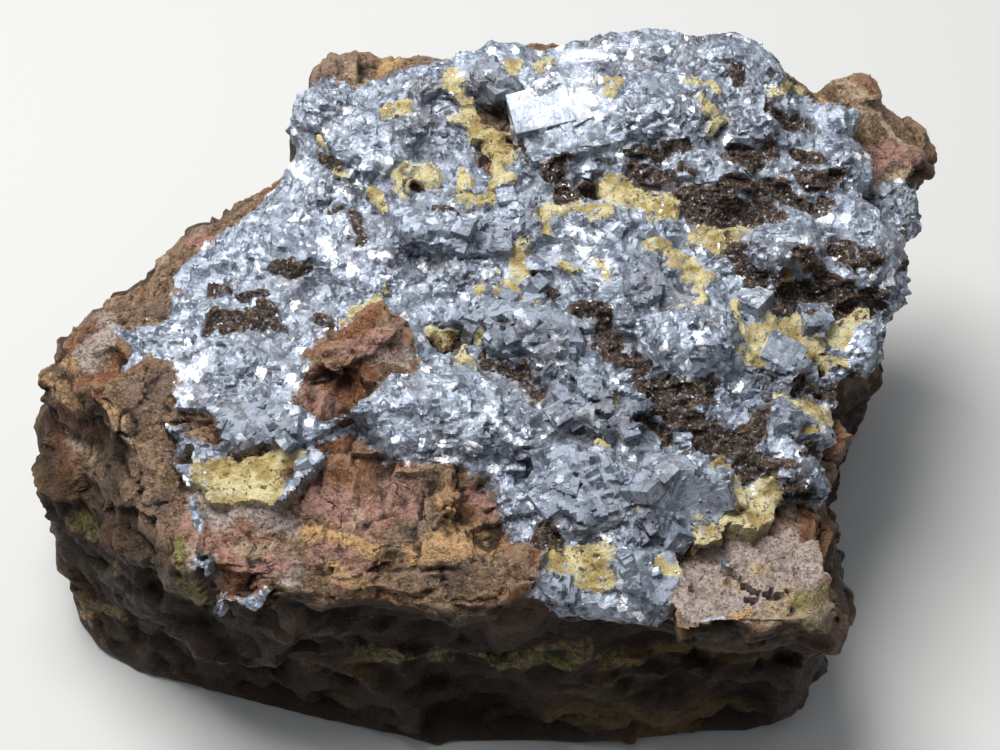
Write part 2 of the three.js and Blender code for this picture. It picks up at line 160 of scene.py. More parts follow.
# Earthy yellow ochre, packed into the hollows between the galena lumps.
OCHRE = {
    "left_pocket": (1.9, (-34.5, -23, 41.5), (-31, -25, 42), (-27.5, -26, 42.5)),
    "left_pocket_middle": (1.6, (-31, -22.5, 42), (-28, -22, 42)),
    "left_pocket_end": (1.3, (-28.5, -24, 42), (-26.5, -22, 42.5), (-24, -22, 44)),
    "left_pocket_front": (1.2, (-33, -26.5, 41), (-27.5, -27.5, 42)),
    "front_pocket": (1.7, (8, -34, 38.5), (10.5, -37.5, 39), (13, -38, 38.5)),
    "front_pocket_middle": (1.2, (10, -33.5, 39), (13, -33.5, 39)),
    "front_pocket_right": (0.9, (12, -35, 36.5), (14, -34.5, 39.5)),
    "front_right_band": (1.6, (28, -23, 42.5), (30.5, -23, 38), (34, -23.5, 38)),
    "front_right_foot": (1.5, (25.5, -29.5, 39.5), (29, -28.5, 39.5), (33, -26.5, 38)),
    "front_right_tail": (0.8, (24.5, -31.5, 38.5), (27, -30.5, 39)),
    "block_corner": (0.9, (19.5, -35, 39.5), (21.5, -34.5, 38)),
    "valley": (2.1, (33, -4, 45), (36.5, -2, 43), (39.5, -3, 42)),
    "valley_back": (1.2, (35, -1.5, 46), (38.5, -1, 44)),
    "valley_left": (1.3, (31, -7, 45.5), (33, -7, 44)),
    "valley_foot": (0.9, (40, -3.5, 41), (44, -5, 41.5)),
    "valley_right": (1.1, (43, -3.5, 44.5), (47.5, 2, 42.5)),
    "valley_front": (1.3, (36.5, -13.5, 44.5), (39.5, -14, 43), (42.5, -13, 39.5)),
    "valley_front_crystal": (0.7, (38, -18, 43), (39, -17, 42.5)),
    "back_valley_top": (0.9, (-5.5, 30.5, 59), (-4.5, 25.5, 57.5)),
    "back_valley": (1.5, (-4, 24.5, 57), (-2, 22.5, 55.5), (1, 22.5, 55.5)),
    "back_valley_foot": (1.1, (0.5, 21.5, 55), (1, 15, 53.5)),
    "back_valley_left": (0.8, (-4.5, 16.5, 54), (-3.5, 15, 53.5)),
    "back_valley_end": (0.7, (-5, 13, 52.5), (-3, 13, 53), (0, 13, 53.5)),
    "left_fleck": (1.5, (-12, 17.5, 50.5), (-10, 18.5, 52.5), (-8.5, 18, 51.5)),
    "slope_fleck": (0.8, (-19.5, 17.5, 53.5), (-18.5, 17, 53)),
    "slope_fleck_low": (0.8, (-16.5, 16, 52.5), (-15, 13, 52.5)),
    "high_fleck": (0.8, (-14, 26.5, 56), (-12, 27, 56)),
    "edge_fleck": (0.5, (-22.5, 23.5, 54.5), (-21.5, 21, 55)),
    "centre_fleck_high": (0.7, (2, 5, 51.5), (3.5, 6.5, 52)),
    "centre_fleck": (1.2, (2.5, 3.5, 51), (4, 1, 49.5)),
    "centre_fleck_foot": (0.7, (2, 0.5, 49.5), (3, -0.5, 49)),
    "centre_fleck_left": (0.8, (-1.5, 1, 49), (0, 1.5, 49.5)),
    "centre_line": (0.4, (1.5, -1, 48.5), (5, -3, 49.5)),
    "notch_fleck": (0.9, (-18.5, -1, 47.5), (-14.5, -1, 48.5)),
    "notch_fleck_left": (0.5, (-20, -2.5, 47.5), (-19, -3.5, 48)),
    "under_lens": (0.8, (-7.5, -4, 46), (-6, -5, 44.5)),
    "under_lens_right": (0.7, (-2.5, -6, 47.5), (-1, -4.5, 47.5)),
    "under_lens_foot": (0.5, (-4.5, -7.5, 46.5), (-3, -9, 46.5)),
    "long_band_left": (0.8, (6.5, 11.5, 52.5), (10, 11.5, 53), (14, 10, 54.5)),
    "long_band": (1.5, (15.5, 14.5, 52), (19, 14.5, 51.5), (22.5, 11, 52.5)),
    "long_band_high": (0.8, (15.5, 16, 52.5), (19.5, 15.5, 52)),
    "long_band_drop": (0.7, (6.5, 10.5, 52.5), (7, 7, 52)),
    "long_band_right": (1.2, (27.5, 9, 52), (30.5, 11, 49.5), (33, 11, 49)),
    "long_band_end": (1.1, (27, 8, 51.5), (29, 7, 50.5)),
    "dome_top_left": (0.9, (8.5, 4, 51), (10.5, 3, 50)),
    "dome_top": (0.7, (11.5, 4.5, 51), (13.5, 3, 51.5)),
    "dome_top_right": (0.7, (13.5, 2, 51.5), (15, 0.5, 51.5)),
    "dome_right_high": (1.1, (20.5, 6.5, 51), (23.5, 7, 48.5)),
    "dome_right": (1.6, (24, 6.5, 48), (27, 5, 47.5)),
    "dome_right_foot": (1.2, (26, 3.5, 47), (25.5, 0, 47.5), (23.5, -1, 48)),
    "dome_right_line": (0.5, (31, 0, 47.5), (31.5, -5, 47.5)),
    "below_cube": (0.5, (13, -18.5, 42), (14.5, -20.5, 44)),
    "below_cube_right": (0.5, (16.5, -19.5, 44), (18, -19, 43.5)),
    "fan_right": (0.5, (14.5, -10, 45.5), (16, -14.5, 46.5)),
    "fan_foot": (0.4, (5, -15, 46.5), (6.5, -13.5, 45.5)),
    "high_right_bowl": (0.7, (25, 27.5, 59.5), (28, 28.5, 58), (29.5, 27, 58)),
    "high_right": (0.8, (27.5, 25.5, 57.5), (29.5, 23, 57)),
    "high_right_foot": (0.5, (27.5, 21, 57), (29, 23, 56.5)),
    "top_bowl": (0.7, (37, 28, 58), (41, 32.5, 54)),
    "top_left_wash": (0.8, (6, 28.5, 61.5), (7.5, 32, 59.5)),
    "top_wash": (0.7, (1.5, 28.5, 60), (3, 31.5, 60)),
    "ridge_fleck": (0.8, (15, 25.5, 59.5), (16.5, 27, 60.5)),
    "lip_fleck": (0.8, (17, -27.5, 41), (18.5, -28, 41.5)),
    "lens_left": (0.4, (-13, 0, 50.5), (-12.5, -1.5, 49.5)),
    "cluster_fleck": (0.5, (25.5, -25, 42), (27, -24, 41.5)),
}
# Dark brown limonite that coats the undersides and hollows of the galena.
BROWN = {
    "white_block_foot": (0.7, (2.5, 19, 55.5), (4.5, 18, 55)),
    "granule_bed": (1.2, (8, 15.5, 57), (8.5, 14, 53.5)),
    "granule_bed_foot": (0.9, (7.5, 13.5, 53), (13, 14.5, 52.5)),
    "ridge_under": (1.3, (18.5, 19, 55.5), (21.5, 19, 56), (24.5, 19, 56.5)),
    "ridge_under_low": (1.5, (18.5, 16, 54.5), (22, 15.5, 53.5)),
    "folds": (1.7, (24.5, 12.5, 53), (28.5, 13, 53.5), (32.5, 15, 53)),
    "folds_low": (1.3, (26, 11, 52.5), (30.5, 12, 51), (36, 12, 51.5)),
    "folds_right": (1.6, (33, 16, 53), (37.5, 16, 51)),
    "folds_high": (1.3, (31, 20, 54.5), (36, 20.5, 53)),
    "folds_middle": (0.9, (23.5, 17, 54.5), (26.5, 15.5, 54.5)),
    "high_right": (1.2, (37, 24.5, 57), (41, 25.5, 54.5)),
    "high_right_low": (0.8, (39.5, 21, 53.5), (43, 20, 53.5)),
    "high_right_end": (0.7, (47, 27, 49.5), (48, 26, 48)),
    "top_hollow": (0.8, (31.5, 33.5, 58), (32.5, 29.5, 58.5)),
    "top_bowl": (1.1, (37, 32.5, 56.5), (41, 37, 51)),
    "red_nodule": (1.1, (40, 18, 53), (43.5, 16.5, 52.5), (49, 23, 46)),
    "red_nodule_low": (1.1, (38, 15, 51.5), (42.5, 14.5, 50.5), (48, 19.5, 45)),
    "nodule_left": (1.1, (31, 8, 50), (32.5, 5, 48.5)),
    "nodule_foot": (1.1, (33, 4, 47.5), (38, 3.5, 46.5)),
    "nodule_gap": (1.5, (39, 4.5, 49.5), (42.5, 6, 46), (45, 4, 46.5)),
    "nodule_right": (1.3, (43, 9, 48.5), (46, 7.5, 48), (48.5, 6, 48.5)),
    "nodule_right_foot": (1.2, (39.5, 3.5, 46), (45, 3, 44.5), (50.5, 3.5, 45.5)),
    "nodule_base": (1.2, (35.5, 2, 45.5), (40.5, -0.5, 46), (45.5, 1, 43), (50.5, 3, 43.5)),
    "far_right_edge": (0.8, (55, 20, 40.5), (54, 8.5, 45.5), (54, 6, 41.5)),
    "under_dome_left": (0.9, (5, 1.5, 49.5), (7, 0.5, 49)),
    "under_dome": (1.1, (10, -1.5, 49.5), (13, -4, 48.5), (16, -6.5, 46.5)),
    "under_dome_foot": (1.3, (13.5, -6.5, 47.5), (17.5, -9, 46), (19, -12.5, 46.5)),
    "below_dome_foot": (1.5, (20, -13, 46), (23, -11.5, 43.5), (26.5, -11.5, 44)),
    "shelf_back": (1.6, (20, -15.5, 44), (24.5, -15, 42), (27.5, -15.5, 41)),
    "shelf": (1.6, (26.5, -16.5, 40.5), (30, -19, 42), (32.5, -20, 41.5)),
    "shelf_right": (1.3, (28, -15.5, 41.5), (33, -17, 42.5)),
    "shelf_left": (0.9, (18, -16.5, 44), (21, -17, 42)),
    "shelf_front_left": (0.8, (20.5, -21, 42), (23.5, -21, 41.5)),
    "shelf_knob": (1.5, (34, -20.5, 40.5), (38, -21, 39)),
    "shelf_front": (1.1, (27.5, -22.5, 43), (32.5, -21, 39.5)),
    "shelf_knob_foot": (1.2, (34, -22, 38.5), (38.5, -23, 37.5)),
    "shelf_end": (0.9, (38, -20, 41), (41, -18, 39.5)),
    "under_fan": (0.9, (-0.5, -8.5, 47), (3, -10, 46), (6.5, -13, 45.5)),
    "under_right_crystals": (1.1, (38.5, -9.5, 42.5), (41.5, -10, 41.5), (44.5, -7, 38.5)),
    "under_right_end": (0.7, (45, -6.5, 40), (46.5, -7.5, 43)),
    "red_slope": (0.8, (-36.5, -4, 46), (-35.5, -1.5, 47)),
    "red_slope_middle": (1.2, (-34, -2.5, 47), (-29.5, -1.5, 47)),
    "red_slope_end": (0.8, (-29, 0, 47), (-27.5, -2, 46.5)),
    "red_slope_high": (0.7, (-37.5, 2.5, 46.5), (-33.5, 2, 47.5)),
    "red_slope_top": (0.5, (-32, 2, 47.5), (-29, 2, 47)),
    "slope_patch": (1.1, (-27, 5, 49.5), (-24.5, 4.5, 50)),
    "high_left_patch": (0.9, (-22.5, 20, 54), (-19.5, 18, 54)),
    "high_left_streak": (0.5, (-23, 24.5, 54), (-21, 21.5, 55)),
    "slope_streak": (0.7, (-18.5, 11.5, 51.5), (-16.5, 8, 51)),
    "slope_streak_left": (0.5, (-21.5, 12, 51.5), (-20, 13, 51.5)),
    "lens_right": (0.8, (-7, 10.5, 54), (-5, 9.5, 51.5)),
    "lens_right_foot": (0.7, (-5.5, 8, 51.5), (-4.5, 7.5, 51)),
    "notch_left_patch": (0.9, (-22, -2.5, 47.5), (-20.5, -5.5, 48.5)),
    "back_block_foot": (0.7, (-4.5, 25, 57.5), (-2.5, 25, 56)),
    "back_block_under": (0.5, (-3, 23.5, 56.5), (1, 23.5, 56)),
    "front_hollow": (0.9, (6, -30.5, 39), (8.5, -33, 39.5)),
    "front_hollow_right": (0.7, (10, -33, 38), (12, -33.5, 37.5)),
    "far_left_edge": (0.5, (-27, 5, 49.5), (-26, 6, 50)),
}
# Painted highlights: places where the galena's cleavage faces catch the light, painted pale and near white.
PAINTED_HIGHLIGHTS = {
    "white_face": (4.2, (4, 22.5, 60), (11, 23.5, 60)),
    "slope_left": (1.1, (-22, 7.5, 50.5), (-20.5, 6.5, 50)),
    "slope_right": (1.1, (-16, 7.5, 51), (-13.5, 7, 50)),
    "far_left": (1.5, (-39.5, -10, 45.5), (-36.5, -8.5, 45.5)),
    "far_left_low": (1.1, (-39.5, -14, 45.5), (-37.5, -12.5, 45.5)),
    "back_top": (1.3, (9.5, 33, 59.5), (15, 33, 59.5)),
    "back_top_high": (0.8, (15.5, 35, 60), (19, 35, 59.5)),
    "back_right": (1.1, (30.5, 36.5, 56.5), (31.5, 34, 57.5)),
    "back_right_low": (0.8, (26, 33, 58), (30, 33.5, 57.5)),
    "right_nodule": (2.1, (35.5, 6.5, 50.5), (39, 6, 50)),
    "right_nodule_far": (1.2, (41.5, 13.5, 49), (45, 14.5, 48)),
    "left_edge": (1.1, (-27, 20.5, 51.5), (-24, 17, 52.5)),
    "lens": (0.7, (-11.5, 11.5, 51.5), (-9.5, 9.5, 52.5)),
    "high_left": (1.1, (-16.5, 18.5, 55), (-13.5, 18, 54.5)),
    "high_left_edge": (0.7, (-23.5, 36, 51.5), (-21.5, 33.5, 53.5)),
    "dome_small": (0.7, (14.5, 3, 52), (15, 1, 52)),
    "granule_a": (0.7, (11.5, 17.5, 55), (12, 16, 54)),
    "granule_b": (0.7, (9, 15, 53.5), (10, 13.5, 53.5)),
    "middle": (0.9, (9, 8.5, 52.5), (12.5, 7, 52.5)),
    "ridge_granule": (0.8, (21.5, 20.5, 58.5), (23.5, 20, 57.5)),
    "ridge_granule_b": (0.5, (17.5, 22, 59), (18, 21.5, 59)),
    "front_nodule": (0.9, (-0.5, -17, 47), (2, -18.5, 46.5)),
    "below_dome": (0.5, (28.5, -10, 44.5), (29.5, -10.5, 44.5)),
    "fan_foot": (0.7, (4, -8, 47.5), (5, -9, 47)),
    "back_slope": (1.1, (8.5, 28.5, 60), (13, 29, 59)),
    "edge_of_rock": (0.7, (-38, -23.5, 41), (-36, -25, 40.5)),
}
# Tarnished crystals, matt and even grey.
DULL = {
    "front_cluster": (3.2, (8, -24.5, 42), (13, -27.5, 42.5), (18, -27, 41)),
    "front_cluster_right": (3.2, (20.5, -25.5, 43.5), (24, -28, 42.5), (26.5, -27, 41)),
    "front_cluster_foot": (2.4, (18, -32, 39.5), (23, -30, 39)),
    "left_cluster": (2.1, (-34.5, -18, 44), (-30, -17, 44.5), (-25, -19.5, 45.5)),
    "left_cluster_right": (1.6, (-31.5, -20, 42.5), (-25, -21, 45.5)),
    "centre": (2.1, (-3, 7.5, 51), (2, 6.5, 52), (6, 8, 52.5)),
    "centre_low": (2.1, (-3, -3, 47.5), (3.5, -1, 49)),
    "right_crystals": (2.1, (33.5, -7.5, 43), (37.5, -8, 43.5)),
    "right_crystals_back": (1.9, (39, -1.5, 44), (41.5, -2.5, 45)),
    "right_crystals_low": (1.9, (33.5, -13.5, 42.5), (39.5, -17, 42.5)),
    "lip": (1.9, (5.5, -34, 39), (8, -38, 38)),
    "lip_right": (2.1, (15.5, -36.5, 39), (20, -38, 38.5)),
    "below_fan": (3.2, (10.5, -14.5, 45.5), (17, -16, 45)),
    "fan": (2.4, (1, -5, 48), (8.5, -7, 48)),
    "back_block": (1.9, (-1, 27, 58.5), (0, 28.5, 59)),
    "left_pocket_side": (1.3, (-26, -27.5, 42), (-21.5, -22.5, 44)),
    "dome_side": (1.9, (19.5, 1, 52), (18.5, -0.5, 50.5)),
}
# Thin galena on the host rock beside the crust.
FILM = {
    "shoulder_right": (1.3, (-47.5, -2, 45), (-43.5, -4.5, 46), (-40, -6, 46)),
    "shoulder_low": (1.1, (-46.5, -6, 44.5), (-44.5, -6, 45)),
    "shoulder_left": (0.8, (-51, -6.5, 42.5), (-49.5, -4.5, 43)),
    "ledge_edge": (0.9, (-40.5, -17, 42.5), (-38.5, -21.5, 42), (-36.5, -24, 41)),
    "ledge_edge_low": (0.8, (-36.5, -26, 40), (-35, -29, 39.5)),
    "ledge_face": (0.7, (-36, -33.5, 38), (-35, -36, 36.5)),
    "wedge": (1.1, (-34, -37, 31.5), (-31, -37.5, 32.5), (-28, -38, 35)),
    "pocket_rim": (1.3, (-27, -28, 42), (-24, -25.5, 43), (-21.5, -22.5, 44)),
    "rim_back": (0.7, (-7, 26.5, 58), (-6, 29, 58.5)),
    "block_speck": (0.4, (28, -34, 39), (28.5, -35, 39)),
    "block_edge": (0.5, (25, -40.5, 36.5), (27.5, -41, 37)),
}
# Bare rock within the outline of the crust.
ROCK_OVER = {
    "notch_a": (2.7, (-20, -13.5, 48), (-15.5, -10.5, 50), (-12.5, -9, 49.5)),
    "notch_b": (2.4, (-22.5, -13.5, 45.5), (-19, -15, 46)),
    "shoulder": (4, (-54.5, -4.5, 41), (-48, -1, 43), (-44.5, 2.5, 44.5)),
    "shoulder_low": (3.5, (-49.5, -12, 42.5), (-43, -12, 44.5)),
    "shoulder_face": (2.7, (-43, -15.5, 43), (-40, -21, 42)),
    "left_edge_bench": (1.3, (-39, -16.5, 43), (-35.5, -19, 44)),
}
# Purplish red haematite stain.
RED_IRON = {
    "upper_left": (1.6, (-39, 13, 45.5), (-36, 8.5, 48)),
    "ledge": (2.1, (-23.5, -26.5, 43), (-18.5, -27.5, 42), (-14, -29, 42)),
    "ledge_right": (1.9, (-12.5, -26, 42), (-10.5, -26.5, 41.5)),
    "ledge_far_right": (1.5, (-1, -26, 41), (-0.5, -28, 41)),
    "ledge_front": (1.9, (-21, -34, 39), (-16, -32.5, 40)),
    "notch_top": (1.9, (-18, -9, 48.5), (-13, -7.5, 49)),
    "notch_side": (1.3, (-24, -14, 46.5), (-20.5, -14.5, 45.5)),
    "ledge_left": (1.6, (-37, -28.5, 39), (-33.5, -31.5, 39), (-26, -34.5, 39)),
    "chip": (1.3, (-32, -34, 39), (-28, -36.5, 38)),
    "knob": (1.9, (52, 29, 46), (58, 29.5, 43)),
    "ledge_low": (1.1, (-18.5, -36.5, 37), (-15, -35.5, 38.5)),
}
# Orange rust.
ORANGE_IRON = {
    "ledge_front": (2.1, (-9, -34, 39.5), (-5.5, -32.5, 40), (-1.5, -32, 39)),
    "ledge_middle": (1.5, (-22.5, -30.5, 40.5), (-18, -31, 40.5)),
    "ledge_chip": (1.2, (-17, -31.5, 40.5), (-14.5, -34, 39.5)),
    "scroll": (1.7, (-5.5, -27, 42), (-5, -28, 41.5)),
    "ledge_edge": (1.1, (-20, -35.5, 38), (-16, -36.5, 37)),
    "right_rust": (0.7, (29, -41, 37.5), (30, -40, 37.5)),
    "notch_foot": (1.1, (-23.5, -21, 46), (-21.5, -19.5, 46)),
    "knob_edge": (0.8, (45, 35, 48.5), (46, 32.5, 49.5)),
    "top_rim": (1.1, (-15, 35.5, 55.5), (-13, 36, 55.5)),
    "top_rim_right": (1.1, (-8.5, 33, 58.5), (-6.5, 34, 59)),
    "left_edge": (1.6, (-58.5, -4, 36.5), (-55.5, -8, 37.5)),
    "left_edge_high": (1.1, (-56.5, -1, 39), (-54, -6, 41.5)),
    "low_left": (0.9, (-55.5, -18.5, 4), (-54, -20, 7.5)),
    "left_ledge_foot": (0.8, (-37, -36.5, 32.5), (-34, -37, 32.5)),
    "face_left": (1.1, (-48.5, -13.5, 42.5), (-47, -15.5, 42)),
    "low_front": (0.8, (-12.5, -38.5, 34.5), (-7.5, -39, 33.5)),
}
# Pale tan clay.
PALE_CLAY = {
    "left_spur": (0.9, (-47, -14.5, 42.5), (-46.5, -18, 40.5)),
    "left_edge": (1.3, (-58, -3, 37), (-57, -6.5, 35)),
    "shoulder_edge": (0.7, (-45.5, 11.5, 42), (-43, 12, 43.5)),
    "rim_back": (1.3, (-19, 34, 54), (-14.5, 31, 56)),
    "knob_stripe": (0.9, (52, 39, 46), (53, 33.5, 47), (56, 31, 45.5)),
    "knob_top": (1.6, (47.5, 39.5, 47), (50, 34.5, 48)),
    "block_chip": (1.1, (32, -34.5, 39), (33.5, -35, 39)),
    "block_spot": (0.8, (28, -37, 38.5), (29, -37.5, 38.5)),
    "block_corner": (2.1, (35.5, -39, 37.5), (39, -39.5, 35.5), (41.5, -37.5, 35)),
    "block_corner_left": (1.6, (33, -40.5, 37), (34.5, -41.5, 37)),
    "ledge_speck": (0.9, (-17, -28.5, 41.5), (-16, -29, 41.5)),
    "chip_edge": (0.8, (-31, -31.5, 39.5), (-28, -33, 39.5)),
    "far_right_low": (0.8, (41.5, -22, 39), (43, -20, 33.5)),
    "knob_low": (1.3, (55, 25.5, 43.5), (57, 25.5, 39.5)),
    "left_streak": (0.8, (-56, -11.5, 33.5), (-53, -16, 34.5)),
    "top_rim": (1.1, (-3, 35, 59.5), (3.5, 34, 60)),
}
# Yellow-green weathering.
GREEN = {
    "left_spur": (1.1, (-38.5, -30.5, 38), (-38, -34, 37), (-37, -36.5, 35.5)),
    "left_edge": (0.7, (-55, -18.5, 27.5), (-54.5, -19, 26)),
    "left_streak": (0.8, (-54, -19, 27), (-52, -21.5, 24.5)),
    "left_streak_low": (0.8, (-50.5, -22, 26), (-48, -24, 23.5)),
    "left_foot": (0.8, (-55.5, -18, 7), (-51.5, -23, 10)),
    "front_low_left": (0.9, (-17, -36, 18), (-12, -36, 19)),
    "front_low": (1.2, (-8, -35, 18), (-3, -36, 18), (-0.5, -36, 19.5)),
    "front_low_right": (1.2, (1, -36.5, 19), (8.5, -35.5, 20), (11, -35.5, 21)),
    "front_low_far": (0.8, (13.5, -36, 19.5), (18.5, -36.5, 19.5)),
    "front_high": (0.8, (15, -40, 34), (18, -40, 32.5)),
    "corner": (1.2, (37, -38.5, 37), (41.5, -36, 35)),
    "corner_low": (0.8, (37, -41, 35.5), (40.5, -39.5, 34)),
    "spur_foot": (0.7, (-37.5, -37, 34.5), (-37, -33.5, 27)),
}
# Grey, fine-grained rock.
GREY_ROCK = {
    "block_top": (3.5, (23.5, -36.5, 38), (29.5, -37, 38.5), (37, -34, 38.5)),
    "block_back": (2.1, (27.5, -32, 39), (36.5, -28.5, 37)),
    "block_left": (2.1, (23.5, -39, 37), (29.5, -39.5, 38)),
    "ledge_left": (1.9, (-35.5, -32.5, 38), (-35.5, -36.5, 36)),
    "ledge_middle": (1.6, (-26, -34.5, 39), (-24.5, -36, 38)),
    "left_block": (1.9, (-36, -26, 40), (-26, -30, 41)),
    "shoulder": (2.4, (-51.5, -4, 42.5), (-49.5, -0.5, 42.5)),
    "notch_top": (1.3, (-15.5, -9, 49.5), (-11.5, -9.5, 49.5)),
}

# The places that the materials show, by the name under which a mesh stores them.
PLACES = {
    "ochre": OCHRE, "brown": BROWN, "painted_highlight": PAINTED_HIGHLIGHTS, "dull": DULL, "red": RED_IRON,
    "orange": ORANGE_IRON, "clay": PALE_CLAY, "green": GREEN, "grey": GREY_ROCK,
}

# Rock scored downwards by fine grooves.
STRIAE = {
    "under_nodule": (4.5, (-20, -22.5, 41), (-11, -23.5, 41.5), (-2, -24, 41)),
    "notch_side": (4, (-22, -13.5, 45), (-20, -17, 43)),
}
# The groove round the knob of the front ledge: its centre and radius.
KNOB_GROOVE = ((-5.5, -27.5, 41.5), 3.4)
# Flat breaks of the host rock: a point on the plane, the way it faces, and its radius.
FLAT_BREAKS = {
    "right_block_top": ((28, -37, 38.5), (0.05, -0.3, 1), 8.5),
    "right_corner": ((39, -41, 36), (0.7, -0.5, 0.7), 6),
}


# ---- Settings --------------------------------------------------------------------------------

def linear(hex_colour):
    """An sRGB hex colour as scene-linear red, green, blue and alpha."""
    channels = [int(hex_colour[i:i + 2], 16) / 255 for i in (1, 3, 5)]
    curve = [c / 12.92 if c <= 0.04045 else ((c + 0.055) / 1.055) ** 2.4 for c in channels]
    return (*curve, 1.0)


def colour(name, description, hex_colour):
    """A colour property with its default given as an sRGB hex value."""
    return FloatVectorProperty(
        name=name, description=description, subtype="COLOR", size=4, min=0, max=1,
        default=linear(hex_colour),
    )


def length(name, description, default):
    """A length property; the default is in millimetres."""
    return FloatProperty(
        name=name, description=description, subtype="DISTANCE", unit="LENGTH", min=0,
        precision=5, default=default * MM,
    )


class SurfaceSettings(bpy.types.PropertyGroup):
    """Mesh spacing that the galena and the host rock share."""

    quad: length("Quad size", "Spacing of the mesh before it is divided", 0.78)
    skin: length("Skin", "Thickness of the galena's own shell over the rock", 2.0)


class GalenaSettings(bpy.types.PropertyGroup):
    """Sizes and colours of the galena."""

    grain: length("Grain", "Width of a patch with one cleavage direction", 4.0)
    block: length("Block", "Width of a cleavage block", 1.5)
    step: length("Step", "Height of a cleavage step", 0.32)
    crystal: length("Crystal", "Spacing of the crystals in the crust", 2.6)
    facet: length("Facet", "Width of the finest cleavage faces", 1.1)
    lean: FloatProperty(
        name="Lean", description="How far a grain's cleavage leans off the surface", default=0.4,
    )
    fresh: colour("Fresh cleavage", "Bright lead-grey of fresh faces", "#959da9")
    grey: colour("Weathered cleavage", "Duller blue-grey of old faces", "#575e6a")
    tarnish: colour("Tarnish", "Even grey of tarnished crystals", "#858c97")
    ochre: colour("Ochre", "Earthy yellow filling", "#d2c697")


class CrystalSettings(bpy.types.PropertyGroup):
    """Numbers and sizes of the single galena crystals."""

    count: IntProperty(name="Count", description="Number of small crystals", min=0, default=420)
    least: length("Least edge", "Edge of the smallest crystal", 0.7)
    most: length("Greatest edge", "Edge of the greatest small crystal", 3.0)


class RockSettings(bpy.types.PropertyGroup):
    """Colours of the host rock."""

    chocolate: colour("Limonite", "Dark brown of the broken rock", "#624b36")
    # This tan is also painted onto crests that stand out, as worn edges and painted highlight.
    tan: colour("Weathered limonite", "Lighter brown of worn edges", "#b8997b")
    coat: colour("Limonite coat", "Blackish brown between the galena lumps", "#33251c")
    red: colour("Haematite", "Purplish red patches", "#bd8f80")
    orange: colour("Goethite", "Orange rusty patches", "#dfb27c")
    clay: colour("Clay", "Pale tan earthy patches", "#ccb394")
    green: colour("Green stain", "Yellow-green weathering", "#8d8846")
    grey: colour("Grey rock", "Purplish grey fine rock", "#cab8ad")


class StageSettings(bpy.types.PropertyGroup):
    """Floor and lights."""

    floor: colour("Floor", "Colour of the plain floor", "#b2b1ae")
    key: FloatProperty(
        name="Key light", description="Power of the soft light above", unit="POWER", default=5.5,
    )
    fill: FloatProperty(
        name="Fill light", description="Power of the weak light in front", unit="POWER", default=0.06,
    )
    sky: FloatProperty(name="Dome", description="Strength of the soft dome overhead", default=0.75)


# ---- Random patterns in space ------------------------------------------------------------------

def hashed(cells, salt):
    """A random number from 0 to 1 for each whole-numbered cell, the same in every run."""
    x, y, z = cells.astype(np.int64).T
    mixed = (x * 73856093) ^ (y * 19349663) ^ (z * 83492791) ^ (salt * 2654435761)
    mixed = mixed.astype(np.uint64)
    for factor in (0xFF51AFD7ED558CCD, 0xC4CEB9FE1A85EC53):
        mixed ^= mixed >> np.uint64(33)
        mixed *= np.uint64(factor)
    mixed ^= mixed >> np.uint64(33)
    return (mixed >> np.uint64(11)) / float(1 << 53)


def scattered(cells, salt):
    """Three random numbers from 0 to 1 for each cell."""
    return np.stack([hashed(cells, salt + i) for i in range(3)], axis=1)


# Turns each octave of noise away from the axes.
TURN = np.array(Euler((0.7, 0.5, 0.9)).to_matrix())


def noise(points, size, salt=0):
    """Smooth noise from -1 to 1 with features of that size."""
    scaled = points @ TURN / size
    base = np.floor(scaled)
    part = scaled - base
    part = part * part * (3 - 2 * part)
    total = np.zeros(len(points))
    for corner in itertools.product((0, 1), repeat=3):
        weight = np.prod(np.where(corner, part, 1 - part), axis=1)
        total += weight * hashed(base + corner, salt)
    return total * 2 - 1


def fractal(points, size, octaves=3, salt=0):
    """Noise of that size with finer and weaker octaves added."""
    total = np.zeros(len(points))
    for octave in range(octaves):
        total += noise(points, size / 2 ** octave, salt + octave) / 2 ** octave
    return total


def grains(points, spacing, salt):
    """The nearest of the seeds scattered one to a cell: its cell and its place."""
    home = np.floor(points / spacing)
    least = np.full(len(points), np.inf)
    cell = np.zeros_like(points)
    place = np.zeros_like(points)
    for offset in itertools.product((-1, 0, 1), repeat=3):
        near = home + offset
        seed = (near + 0.5 + 0.8 * (scattered(near, salt) - 0.5)) * spacing
        far = ((points - seed) ** 2).sum(axis=1)
        closer = far < least
        least[closer] = far[closer]
        cell[closer] = near[closer]
        place[closer] = seed[closer]
    return cell, place


def unit(vectors):
    """Vectors scaled to length 1."""
    return vectors / np.maximum(np.linalg.norm(vectors, axis=1), 1e-9)[:, None]


def frames(cells, normals, lean, salt):
    """Three square axes for each grain, one to a row; the last leans off the grain's mean normal."""
    _, grain = np.unique(cells @ (1, 1009, 1009 * 1009), return_inverse=True)
    mean = np.stack([np.bincount(grain, column) for column in normals.T], axis=1)[grain]
    up = unit(unit(mean) + (scattered(cells, salt) - 0.5) * 2 * lean)
    side = unit(np.cross(up, scattered(cells, salt + 3) - 0.5))
    return np.stack([side, np.cross(up, side), up], axis=1)


def smoothstep(low, high, values):
    """0 below low, 1 above high, smooth between."""
    t = np.clip((values - low) / (high - low), 0, 1)
    return t * t * (3 - 2 * t)


def strayed(points):
    """Points shifted to and fro by noise, which makes the outline of a place ragged."""
    shifts = [
        noise(points, 4, 200 + axis) * 1.3 + noise(points, 1.7, 210 + axis) * 0.8 for axis in range(3)
    ]
    return points + np.stack(shifts, axis=1)


# Places are laid out on a tilted plane: depth across it counts for less than distance along it.
ACROSS = np.array((0, -0.643, 0.766))


